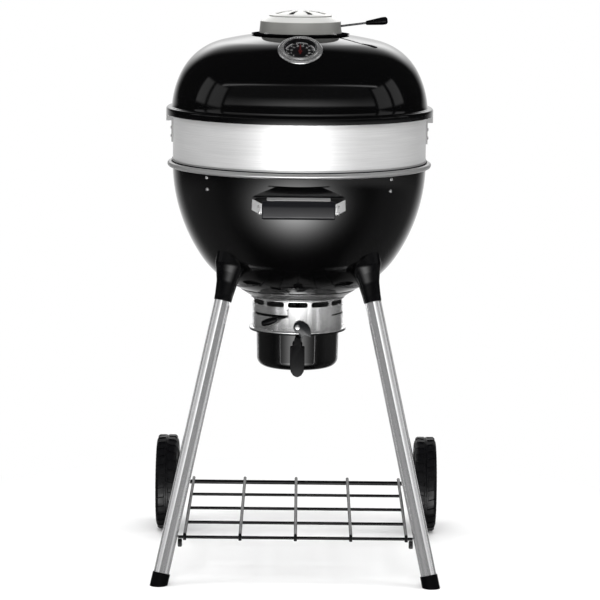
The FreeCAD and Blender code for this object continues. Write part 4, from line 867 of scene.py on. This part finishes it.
# --------------------------------------------------------------------------- handle
def build_handle():
    outline = rounded([(-352, 819), (-331.2, 817.2), (-331.2, 857.0), (-341.5, 857.0),
                       (-352, 848.5)],
                      [7.0, 6.0, 5.0, 4.0, 7.0], 7)
    section = [(-p[0], p[1]) for p in outline]
    stations = [(-79.0, 0.90), (-78.2, 0.965), (-76.0, 1.0), (76.0, 1.0), (78.2, 0.965),
                (79.0, 0.90)]
    points, faces = [], []
    centre = (341.6, 837.0)
    for x, scale in stations:
        points += [(x, -(centre[0] + (a - centre[0]) * scale), centre[1] + (b - centre[1])
                    * scale) for a, b in section]
    size = len(section)
    for index in range(len(stations) - 1):
        first, second = index * size, (index + 1) * size
        faces += [(first + s, first + (s + 1) % size, second + (s + 1) % size, second + s)
                  for s in range(size)]
    faces += [tuple(range(size)), tuple(range((len(stations) - 1) * size, len(stations) * size))]
    add("grip", Form(points, faces), "grip_plastic", "stand", ["handle_grip"])
    lip = slab(rounded([(-69, 0), (69, 0), (68, 7.0), (-68, 7.0)], 1.5, 5), 0, 1.2)
    add("shield_lip", lip.turned(78, "X").at(0, -338.6, 858.2), "bracket_steel", "stand",
        bevel=0.35, finish=tab_steel)
    near, far = Vector((80.9, -347.0)), Vector((115.4, -203.0))
    low, high = 828.5, 852.5
    arm = slab([(0, low + 4.6), (2.0, low), (9.0, low), (9.0, low + 6.0), (17.5, low + 6.0),
                (17.5, low), (148, low), (148, high), (2.5, high), (0, high - 2.5)], 0, 2.4)
    along = (far - near).normalized()
    arm = arm.by(Matrix(((along.x, 0, -along.y, near.x), (along.y, 0, along.x, near.y),
                         (0, 1, 0, 0), (0, 0, 0, 1))))
    solid_bowl = lathe([(0, 911)] + [(r + 0.1, h) for r, h in bowl_line()] + [(0, FLOOR)], 128)
    add("grip_arms", both_sides(arm), "bracket_steel", "stand", ["handle_brackets"], [solid_bowl],
        bevel=0.35)
    heads = [screw_head(3.5, 2.0, (mark * 85.6, -342.0, 837.0 + rise), (mark, 0.235, 0))
             for mark in (1, -1) for rise in (-5.0, 9.0)]
    add("grip_screws", heads, "screw_steel", "stand", ["handle_screws"])
    rows = [(-279.7, 884.0, 46.0), (-296.0, 879.6, 60.5), (-313.0, 875.0, 76.0),
            (-331.0, 869.9, 91.5), (-336.8, 867.4, 97.5), (-338.2, 865.8, 99.0)]
    points, faces = [], []
    sides = 16
    for y, z, half in rows:
        points += [(half * (2 * s / sides - 1), y, z) for s in range(sides + 1)]
    faces = [(r * (sides + 1) + s, r * (sides + 1) + s + 1, (r + 1) * (sides + 1) + s + 1,
              (r + 1) * (sides + 1) + s)
             for r in range(len(rows) - 1) for s in range(sides)]
    top = Form(points, faces)
    under = Form([p - Vector((0, 0, 1.5)) for p in top.points], faces)
    count, width = len(rows), sides + 1
    loop = list(range(width)) + [r * width + sides for r in range(1, count)]
    loop += [(count - 1) * width + s for s in range(sides - 1, -1, -1)]
    loop += [r * width for r in range(count - 2, 0, -1)]
    shift = len(top.points)
    sheet = top + under
    sheet.faces += [(a, b, b + shift, a + shift) for a, b in zip(loop, loop[1:] + loop[:1])]
    add("heat_shield", sheet, "black_metal", "stand", ["handle_heat_shield"], [solid_bowl])


build_handle()


# --------------------------------------------------------------------------- air ring and ash bowl
def slot_cut(azimuth, height, length, tall):
    """A rounded slot through the ring's wall."""
    half, r = length / 2, tall / 2
    outline = rounded([(-half, -r), (half, -r), (half, r), (-half, r)], r * 0.98, 7)
    return slab(outline, 90, 112).sideways().at(0, 0, height).turned(azimuth)


def at_latch(y):
    """The latch's screw line, which points to the front."""
    return frame_of((0, y, LATCH_Z), (0, -1, 0))


def build_air_ring():
    collar = rounded([(RING_INNER, RING_TOP + 0.1), (107.0, RING_TOP + 0.1),
                      (FLOOR_RADIUS, FLOOR - 1.5), (FLOOR_RADIUS, FLOOR - 0.1),
                      (123.0, FLOOR - 0.1), (RING_INNER, RING_TOP + 3.5)], [0, 1.0, 0.6, 0.5, 0,
                                                                            0], 5)
    add("collar_cone", lathe(collar, 160), "vent_ring_steel", "stand", ["bowl_collar"],
        finish=collar_steel)
    ring = rounded([(RING_INNER, RING_LOW), (110.0, RING_LOW), (110.0, RING_LOW + 2.5),
                    (RING_RADIUS, RING_LOW + 3.5), (RING_RADIUS, RING_TOP - 4.6),
                    (106.8, RING_TOP - 3.6), (106.8, RING_TOP), (RING_INNER, RING_TOP)],
                   [0, 0.9, 0.9, 1.5, 1.2, 1.5, 1.5, 0], 5)
    slots = [slot_cut(-90 + 30 * step, RING_TOP - 10.2, 45.0, 11.4) for step in range(12)]
    slots.append(wedge(108, 98, LEVER_Z - 3.2, LEVER_Z + 3.2, -157.6, -101.6, 16))
    slots.append(wedge(108, 98, LEVER_Z - 2.0, LEVER_Z + 2.0, -41.0, -7.0, 12))
    pivot = cylinder(3.1, -5, 8, 24)
    pivot = pivot.by(at_latch(-103))
    add("air_ring", lathe(ring, 192), "vent_ring_steel", "stand", ["vent_ring"], slots + [pivot])
    seam_and_shade_strip = wedge(RING_RADIUS + 0.5, RING_RADIUS - 0.1, LEVER_Z + 3.5, RING_TOP - 17.5, -102.5,
                 -101.9, 2)
    add("ring_seam", seam_and_shade_strip, "gasket_rubber", "stand", finish=plate_black)
    studs, seat = [], RING_RADIUS + 0.5
    for turn, rise in ((-103, 52), (-103, 36.0), (-103, 12), (-28, 60), (-152, 60), (28, 40),
                       (152, 40), (90, 40)):
        at = on_circle(seat, turn, RING_LOW + rise)
        studs.append(screw_head(1.9, 1.4, at, (cos(turn), sin(turn), 0), cross=False))
    add("ring_rivets", studs, "screw_steel", "stand")
    seal = [(98.5, RING_LOW - 1.6), (109.4, RING_LOW - 1.6), (110.0, RING_LOW - 0.9),
            (109.4, RING_LOW - 0.1), (98.5, RING_LOW - 0.1)]
    add("ring_seal", lathe(seal, 128), "gasket_rubber", "stand", ["ash_gasket"])


def build_sweeper():
    low = FLOOR + 2.4
    blades = [wedge(96, 14, low, low + 1.5, turn - 25, turn + 25) for turn in (90, 210, 330)]
    lips = [wedge(96, 14, low + 1.4, low + 6.0, turn + mark * 24.2 - 0.5, turn + mark * 24.2 + 0.5,
                  2)
            for turn in (90, 210, 330) for mark in (1, -1)]
    hub = lathe([(5.02, low), (18, low), (18, low + 5.6), (16.6, low + 7.0), (5.02, low + 7.0)], 40)
    add("blades", blades + lips + [hub], "bracket_steel", "sweeper", ["sweeper_blades"])
    corner, knob_start, knob_end = [
        Vector(on_circle(radius, turn, LEVER_Z - drop))
        for radius, turn, drop in ((112, -104.6, 0), (117, -113.6, 4.5), (124, -126.6, 14.5))]
    shaft = lathe([(0, LEVER_Z - 5), (3.4, LEVER_Z - 4.6), (5, LEVER_Z - 3), (5, low + 8.2),
                   (4.2, low + 9.0), (0, low + 9.0)], 28)
    inner = knob_start + (knob_end - knob_start) * 0.3
    arm = wire([(0, 0, LEVER_Z), corner, knob_start, inner], 2.5, 6.0)
    add("air_lever_rod", shaft + arm, "lever_wire", "sweeper", ["air_lever"],
        finish=LOOKS["shelf_wire"])
    axis = knob_end - knob_start
    length = axis.length
    knob = rounded([(0, -1.5), (4.6, -1.5), (7.4, 8), (8.0, length * 0.7), (6.4, length + 6.2),
                    (0, length + 7.4)],
                   [0, 2.0, 5, 8, 4, 0], 6, closed=False)
    add("air_knob", lathe(knob, 36).by(frame_of(knob_start, axis)), "black_plastic", "sweeper",
        ["air_lever_knob"])


def build_ash_bowl():
    top = RING_LOW - 2.0
    low = top - 86.0
    outline = rounded([(0, low), (91.6, low), (93.6, top - 1.6), (109.0, top - 1.6),
                       (109.5, top - 0.8), (109.0, top), (92.1, top), (90.1, low + 1.5),
                       (0, low + 1.5)],
                      [0, 20.0, 1.4, 0.4, 0.3, 0.4, 1.6, 18.5, 0], 14, closed=False)
    add("ash_pan", lathe(outline, 192), "black_enamel", "ash_bowl", ["ash_bowl"])


def build_latch():
    back = -111.2
    line = rounded([(-6.0, -9.5), (-9.6, -2.0), (-8.6, 6.5), (-3.0, 11.2), (3.5, 14.0),
                    (14.0, 12.8), (23.5, 7.0), (29.0, -3.0), (30.6, -15.0), (30.0, -21.5),
                    (24.5, -20.0), (17.0, -17.5), (12.0, -20.5), (9.4, -28.0), (9.0, -44.5),
                    (-8.5, -44.5), (-8.5, -32.0), (2.5, -28.0), (3.5, -14.0), (0.0, -10.6)],
                   [4, 5, 5, 5, 6, 8, 8, 6, 2.5, 1.5, 5, 5, 4, 4, 0, 0, 3, 4, 3, 2], 5)
    cam = slab(line, 0.1, 2.9).upright().at(0, back, LATCH_Z)
    eye = cylinder(3.12, -6, 8, 28)
    eye = eye.by(at_latch(back))
    add("latch_arm", cam, "latch_metal", "ash_latch", ["latch_cam"], [eye], bevel=0.5)
    screw = lathe([(0, 0), (3.0, 0), (3.0, 7.8), (5.5, 7.8), (5.5, 9.0), (5.5, 9.05), (3.0, 9.05),
                   (3.0, 13.0), (5.6, 13.0), (5.6, 14.2), (4.6, 15.6), (2.2, 16.1), (1.8, 14.9),
                   (0, 14.9)], 32)
    add("latch_screw", screw.by(at_latch(-101.6)), "screw_steel", "stand",
        ["latch_pivot_screw"])
    top = LATCH_Z - 40
    outline = rounded([(-3.0, top + 19.0), (4.6, top + 19.0), (7.4, top + 15.0), (7.8, top + 7.0),
                       (9.8, top + 6.0), (9.8, top - 1.8), (16.3, top - 2.2), (16.5, top - 44),
                       (14.8, top - 58), (9.2, top - 67), (0, top - 72.0), (-9.2, top - 67),
                       (-14.8, top - 58), (-16.5, top - 44), (-16.3, top - 2.2), (-9.8, top - 1.8),
                       (-9.8, top + 6.0), (-7.2, top + 7.0), (-6.6, top + 15.0)],
                      [1, 1, 1.5, 1, 1, 1, 2, 12, 8, 8, 12, 8, 8, 12, 2, 1, 1, 1, 1.5], 5)
    form = slab(outline, 0.3, 15.9).upright().at(0, back, 0)
    pocket = block((-9.5, back - 3.2, top - 5.2), (10.0, back + 1, top + 24))
    add("latch_handle", form, "black_plastic", "ash_latch", ["latch_grip"], [pocket], bevel=3.2,
        segments=4)


build_air_ring()
build_sweeper()
build_ash_bowl()
build_latch()


# --------------------------------------------------------------------------- stand
FOOT_OUT, MOUNT_TURN, WHEEL_OUT, WHEEL_WIDTH = 300.0, 37.5, 281.0, 43.0
MOUNT_REACH = LOWER_AT[0] + BOWL_LOWER * cos(MOUNT_TURN)
MOUNT_HEIGHT = LOWER_AT[1] - BOWL_LOWER * sin(MOUNT_TURN)
RUN = FOOT_OUT * math.sqrt(2) - MOUNT_REACH
LEG_LENGTH = math.hypot(RUN, MOUNT_HEIGHT)


def leg_out(height):
    """How far a leg's line is from the axis, along X and along Y, at a height."""
    return FOOT_OUT - RUN * math.sqrt(0.5) * height / MOUNT_HEIGHT


AXLE_Z = 112.4
AXLE_BACK = leg_out(AXLE_Z)
CORNERS = {"front_left": (-1, -1), "front_right": (1, -1), "rear_left": (-1, 1), "rear_right": (1,
                                                                                                1)}


def along_leg(corner, distance):
    x, y = CORNERS[corner]
    height = MOUNT_HEIGHT * distance / LEG_LENGTH
    return Vector((x * leg_out(height), y * leg_out(height), height))


def wheel_side(mark, out):
    """Where a wheel-side piece stands: its axis on the axle, pointing outwards."""
    return (Matrix.Translation((mark * out, AXLE_BACK, AXLE_Z))
            @ Matrix.Rotation(math.radians(90 * mark), 4, "Y"))


def on_leg(corner, profile, steps=64):
    """A turned shape whose axis is a leg's own line, measured up from the ground."""
    foot = along_leg(corner, 0)
    return lathe(profile, steps).by(frame_of(foot, along_leg(corner, 100) - foot))


def on_pair(end, profile, steps=64):
    return on_leg(end + "_left", profile, steps) + on_leg(end + "_right", profile, steps)


def build_legs():
    top = LEG_LENGTH - 14
    axle_at = AXLE_Z * LEG_LENGTH / MOUNT_HEIGHT
    axle_hole = wire([(-400, AXLE_BACK, AXLE_Z), (400, AXLE_BACK, AXLE_Z)], 5.2, sides=24)
    tube = [(16.0, 6.2), (17.3, 6.2), (17.5, 6.5), (17.5, top), (16.0, top)]
    add("front_tubes", on_pair("front", tube, 96), "leg_chrome", "stand", ["front_legs"])
    start = axle_at - 18
    tube = [(16.0, start), (17.3, start), (17.5, start + 0.3), (17.5, top), (16.0, top)]
    add("rear_tubes", on_pair("rear", tube, 96), "leg_chrome", "stand", ["rear_legs"], [axle_hole])
    plug = [(0, start - 2.9), (15.6, start - 2.9), (17.4, start - 1.9), (17.4, start - 0.2),
            (15.9, start - 0.2), (15.9, start + 8), (0, start + 8)]
    add("tube_plugs", on_pair("rear", plug), "black_plastic", "stand", ["rear_leg_plugs"])
    ground = block((-500, -500, -60), (500, 500, 0.25))
    cap = rounded([(0, -18), (19.3, -18), (19.3, 28.0), (17.56, 28.0), (17.56, 5.9), (0, 5.9)],
                  [0, 0, 1.4, 0.5, 0, 0], 5, closed=False)
    add("foot_caps", on_pair("front", cap, 72), "black_plastic", "stand", ["front_feet"], [ground])
    build_sockets()


def build_sockets():
    """Flared sockets whose tops follow the bowl, and the screws through them."""
    start = LEG_LENGTH - 75.0
    outer = rounded([(17.56, start), (19.6, start), (20.4, start + 14), (23.4, start + 42),
                     (29.5, start + 64), (35.6, LEG_LENGTH + 4), (37.2, LEG_LENGTH + 44)],
                    [0, 0.9, 20, 40, 30, 20, 0], 8, closed=False)
    profile = outer + [(0, LEG_LENGTH + 44), (0, LEG_LENGTH - 8.6), (17.56, LEG_LENGTH - 8.6)]
    solid_bowl = lathe([(0, 960), (286, 960)] + [(r + 0.15, h) for r, h in bowl_line()]
                       + [(0, FLOOR - 0.15)], 160)
    total = joined([on_leg(corner, profile, 96) for corner in CORNERS])
    add("sockets", total, "socket_plastic", "stand", ["leg_sockets"], [solid_bowl])
    heads = []
    for corner, (x, y) in CORNERS.items():
        centre = along_leg(corner, start + 16)
        inward = Vector((-x, -y, 0)).normalized()
        heads.append(screw_head(4.0, 2.4, centre + inward * 20.4, inward))
    add("socket_bolts", heads, "screw_steel", "stand", ["socket_screws"])


def build_wheels():
    tyre = rounded([(79.9, 1.4), (101.0, 0.2), (108.6, 6.5), (109.4, 20.5), (111.6, 22.0),
                    (111.6, 24.4), (110.0, 25.1), (110.0, 25.9), (111.6, 26.6), (111.6, 29.0),
                    (109.4, 30.5), (108.6, 44.5), (101.0, 50.8), (79.9, 49.6)],
                   [0, 5.0, 5.0, 0.6, 0.6, 0.5, 0.2, 0.2, 0.5, 0.6, 0.6, 5.0, 5.0, 0], 5)
    form = lathe(tyre, 144)
    lugs = []
    for step in range(30):
        for low, high, shift, lean in ((3.2, 22.6, 0.0, 1), (28.4, 47.8, 0.5, -1)):
            outline = [(105.4, low), (109.0, low), (112.3, low + 4.0), (112.3, high - 0.8),
                       (111.8, high), (105.4, high)]
            if lean < 0:
                outline = [(r, low + high - w) for r, w in outline]
            points, size = [], len(outline)
            for side in (-3.9, 3.9):
                for r, w in outline:
                    skew = side * (1.0 if r < 106 else 0.84) + lean * (w - (low + high) / 2) * 0.12
                    points.append(on_circle(r, skew, w))
            faces = [tuple(range(size)), tuple(range(size, 2 * size))]
            faces += [(k, (k + 1) % size, size + (k + 1) % size, size + k) for k in range(size)]
            lugs.append(Form(points, faces).turned((step + shift) * 12.0))
    side_ribs = []
    for step in range(60):
        for low in (0.05, 50.05):
            side_ribs.append(block((88, -0.9, low), (98.5, 0.9, low + 0.9)).turned(6.0 * step + 3))
    tread = form + joined(lugs) + joined(side_ribs)
    hub = rounded([(5.12, 20), (24, 20), (24, 26), (70, 26), (72, 3.4), (79.8, 3.4), (79.8, 47.6),
                   (72, 47.6), (70, 32), (24, 32), (24, 43), (5.12, 43)],
                  [0.6, 2, 2, 4, 2, 1, 1, 2, 4, 2, 2, 0.6], 4)
    centre = lathe(hub, 120)
    spokes = []
    for step in range(10):
        rib = slab([(22, -2.6), (73.5, -3.6), (73.5, 3.6), (22, 2.6)], 32, 38).turned(36 * step)
        back = slab([(22, -2.2), (73.5, -2.8), (73.5, 2.8), (22, 2.2)], 21, 26).turned(36 * step)
        spokes += [rib, back]
    spokes.append(lathe([(24, 32), (30, 32), (30, 36), (29, 37), (24, 37)], 48))
    for name, mark in (("right", 1), ("left", -1)):
        stand_up = wheel_side(mark, WHEEL_OUT)
        add("tyre_skin_" + name, tread.by(stand_up), "tyre_rubber", name + "_wheel",
            ["tyre_" + name])
        add("hub_skin_" + name, centre.by(stand_up), "hub_plastic", name + "_wheel",
            ["wheel_hub_" + name])
        add("hub_ribs_" + name, joined(spokes).by(stand_up), "hub_plastic", name + "_wheel",
            bevel=0.7)
    end = WHEEL_OUT + WHEEL_WIDTH
    axle = wire([(-end - 6, AXLE_BACK, AXLE_Z), (end + 6, AXLE_BACK, AXLE_Z)], 5.0, sides=28)
    add("axle_rod", axle, "shelf_wire", "stand", ["axle"])
    nut = lathe([(5.02, 0.5), (10.4, 0.5), (11.0, 1.1), (11.0, 4.4), (9.0, 6.6), (5.02, 7.4)], 40)
    add("axle_caps", joined(nut.by(wheel_side(mark, end)) for mark in (1, -1)), "screw_steel",
        "stand", ["axle_nuts"])


def build_shelf():
    height, thick, spacing = 104.0, 3.5, 122.0
    leg_line = leg_out(height)
    front, rear = -leg_line, AXLE_BACK
    front_top = height + 2 * thick
    rear_top = AXLE_Z + 5.0 + thick + 0.1
    half = leg_line - 17.5 - 1.0
    cross = []
    for step in range(4):
        y = front + (rear - front) * step / 4
        z = front_top + (rear_top - front_top) * step / 4 - 2 * thick
        reach = half if step == 0 else 2 * spacing + thick
        cross.append(wire([(-reach, y, z), (reach, y, z)], thick, sides=18))
    add("shelf_bars", cross, "shelf_wire", "stand", ["shelf_cross_rods"])
    nose = front - 2 * thick - 0.1
    slope = (rear_top - front_top) / (rear - front)
    longs = []
    for step in range(-2, 3):
        x = spacing * step
        line = [(x, nose, front_top - 12), (x, nose, front_top), (x, front, front_top),
                (x, rear + 6, rear_top + slope * 6)]
        longs.append(wire(rounded(line, [0, 4.5, 2, 0], 8, closed=False), thick, sides=18))
    add("shelf_wires", longs, "shelf_wire", "stand", ["shelf_long_rods"])
    low = height - thick
    outline = rounded([(half - 9, low - 18), (half + 0.4, low - 18), (half + 0.4, low - 0.1),
                       (half - 9, low - 0.1)],
                      [3, 2, 1, 2], 5)
    tab = slab(outline, 0, 3).upright().at(0, front - 1, 0)
    add("shelf_tabs", both_sides(tab), "shelf_wire", "stand", ["shelf_brackets"], bevel=0.4)
    heads = [screw_head(3.5, 2.4, (mark * (half - 4.4), front - 4.05, low - 9), (0, -1, 0))
             for mark in (1, -1)]
    add("shelf_bolts", heads, "screw_steel", "stand", ["shelf_screws"], finish=LOOKS["shelf_wire"])


build_legs()
build_wheels()
build_shelf()

# The brackets inside the shells are simple pressed shapes, so the CAD mesh is kept.
for name, obj in frame["nodes"].items():
    if not obj.hide_render:
        obj.data.materials.clear()
        obj.data.materials.append(tab_steel if name == "spit_brackets" else LOOKS[SLOT_OF[name]])
        smooth(obj.data)


# --------------------------------------------------------------------------- stage
CAMERA_AT, CAMERA_DOWN, CAMERA_ROLL = (4.9, -6684.0, 1578.6), 0.1463, 0.0101
FOCUS, SENSOR = 2971.8, 36.0
# name, place, aim, width, depth, power
LAMPS = (
    ("lamp_front", (0.0, -3.0, 2.6), (0, 0, 0.7), 2.4, 1.6, 70),
    ("lamp_top", (0.0, 0.2, 4.0), (0, 0, 0.6), 3.4, 3.4, 105),
    ("lamp_left", (-3.0, -0.9, 1.5), (0, 0, 0.7), 1.4, 2.2, 45),
    ("lamp_right", (3.0, -0.9, 1.5), (0, 0, 0.7), 1.4, 2.2, 45),
)


def floor_finish():
    """Pale and plain near the grill, where it keeps the shadow, and plain white farther away."""
    material, nodes, shader = surface("floor_white", (0.88, 0.88, 0.88), 1.0)
    shader.inputs["Specular IOR Level"].default_value = 0.0
    tree = material.node_tree
    glow = nodes.add("ShaderNodeEmission", Color=(1, 1, 1, 1), Strength=1.0)
    spread = tree.nodes.new("ShaderNodeVectorMath")
    spread.operation = "LENGTH"
    nodes.set(spread.inputs[0], nodes.place())
    far = nodes.ramp(spread.outputs["Value"], [(0.45, 0.0), (1.1, 1.0)])
    seen = tree.nodes.new("ShaderNodeLightPath").outputs["Is Camera Ray"]
    mix = nodes.add("ShaderNodeMixShader", Fac=nodes.times(far, seen))
    nodes.set(mix.inputs[1], shader.outputs[0])
    nodes.set(mix.inputs[2], glow.outputs[0])
    nodes.set(tree.nodes["Material Output"].inputs["Surface"], mix.outputs[0])
    return material


def build_world(scene):
    """White to the camera; to shiny surfaces, a dark studio with a white wall behind, one large
    soft panel above the camera, two narrow ones at each side and a glow from the floor in front."""
    world = bpy.data.worlds.new("studio")
    scene.world = world
    world.use_nodes = True
    tree = world.node_tree
    nodes = Nodes(tree)
    background = tree.nodes["Background"]
    path = tree.nodes.new("ShaderNodeLightPath")
    x, y, z = nodes.split(tree.nodes.new("ShaderNodeTexCoord").outputs["Generated"])
    degree = 180.0 / math.pi
    turn = nodes.times(nodes.maths("ARCTAN2", x, nodes.times(y, -1.0)), degree)
    side = nodes.maths("ABSOLUTE", turn)
    rise = nodes.times(nodes.maths("ARCSINE", z), degree)

    def hump(value, middle, width):
        share = nodes.maths("DIVIDE", nodes.minus(value, middle), width)
        return nodes.maths("EXPONENT", nodes.times(share, share, -1.0))

    def window(value, low, high, soft):
        return nodes.times(nodes.ramp(value, [(low - soft, 0.0), (low + soft, 1.0)]),
                           nodes.ramp(value, [(high - soft, 1.0), (high + soft, 0.0)]))

    def level_line(middle):
        """The height in degrees of a straight level edge that is this high in the middle."""
        along = nodes.maths("COSINE", nodes.times(side, 0.647 * math.pi / 180))
        slope = nodes.times(along, math.tan(math.radians(middle)))
        return nodes.times(nodes.maths("ARCTANGENT", slope), degree)

    near = nodes.ramp(rise, [(-5.0, 133.0), (5.0, 146.0)])
    reach = nodes.minus(171.0, near)
    behind = nodes.maths("DIVIDE", nodes.minus(side, near), reach)
    wall = nodes.times(nodes.ramp(behind, [(0.0, 0.0), (1.0, 1.0)]),
                       nodes.ramp(rise, [(24.0, 1.0), (56.0, 0.0)]),
                       nodes.ramp(rise, [(-55.0, 0.2), (-10.0, 1.0)]),
                       nodes.plus(0.85, nodes.times(hump(rise, 19.0, 8.0), 1.5)))
    above_foot = nodes.minus(rise, level_line(16.6))
    below_head = nodes.minus(level_line(43.2), rise)
    fading = nodes.times(nodes.ramp(above_foot, [(-1.0, 1.55), (11.0, 0.0)]),
                         nodes.ramp(side, [(0.0, 1.0), (62.0, 0.28)]))
    panel = nodes.times(window(side, -1.0, 72.5, 1.2), window(above_foot, 0.0, 90.0, 0.7),
                        window(below_head, 0.0, 90.0, 0.5), nodes.plus(0.05, fading))
    edge = nodes.times(window(side, -1.0, 84.0, 1.5), window(below_head, -0.9, 0.5, 0.4),
                       nodes.ramp(side, [(0.0, 0.35), (84.0, 2.0)]))
    pair = nodes.plus(window(side, 76.0, 92.0, 1.2), window(side, 96.0, 109.0, 1.2))
    strips = nodes.times(pair, window(rise, 8.0, 28.0, 1.2), 0.45)
    glow = nodes.times(hump(rise, -29.0, 16.0), hump(turn, -3.0, 30.0), 11.0)
    right = nodes.times(hump(turn, 62.0, 42.0), window(rise, -13.0, -4.0, 2.5), 0.36)
    ground = nodes.times(nodes.ramp(side, [(60.0, 0.0), (95.0, 1.0)]),
                         window(rise, -60.0, -10.0, 6.0), 0.10)
    total = nodes.plus(0.012, wall)
    for part in (panel, edge, strips, glow, right, ground):
        total = nodes.plus(total, part)
    seen, scattered = path.outputs["Is Camera Ray"], path.outputs["Is Diffuse Ray"]
    plain = nodes.times(scattered, 0.45)
    shiny = nodes.times(total, nodes.minus(1.0, scattered))
    level = nodes.maths("MAXIMUM", nodes.plus(plain, shiny), seen)
    nodes.set(background.inputs["Color"], nodes.pack(level, level, level))


def build_stage():
    scene = bpy.context.scene
    floor_mesh = bpy.data.meshes.new("floor")
    floor_mesh.from_pydata([(-9, -9, 0), (9, -9, 0), (9, 9, 0), (-9, 9, 0)], [], [(0, 1, 2, 3)])
    floor = bpy.data.objects.new("floor", floor_mesh)
    scene.collection.objects.link(floor)
    floor_mesh.materials.append(floor_finish())
    floor.visible_glossy = False
    build_world(scene)
    for name, at, aim, width, depth, power in LAMPS:
        data = bpy.data.lights.new(name, "AREA")
        data.energy = power
        data.shape = "RECTANGLE"
        data.size = width
        data.size_y = depth
        lamp = bpy.data.objects.new(name, data)
        scene.collection.objects.link(lamp)
        lamp.matrix_world = frame_of(at, Vector(at) - Vector(aim))
        lamp.visible_glossy = False

    data = bpy.data.cameras.new("camera")
    data.sensor_width = SENSOR
    data.lens = FOCUS * SENSOR / 600.0
    data.clip_end = 60.0
    camera = bpy.data.objects.new("camera", data)
    scene.collection.objects.link(camera)
    side, back, height = CAMERA_AT
    at = Matrix.Translation((side * MM, (back + AXIS_Y) * MM, height * MM))
    pitch = Matrix.Rotation(math.radians(90) - CAMERA_DOWN, 4, "X")
    camera.matrix_world = at @ pitch @ Matrix.Rotation(CAMERA_ROLL, 4, "Z")
    scene.camera = camera
    scene.view_settings.view_transform = "Standard"


build_stage()
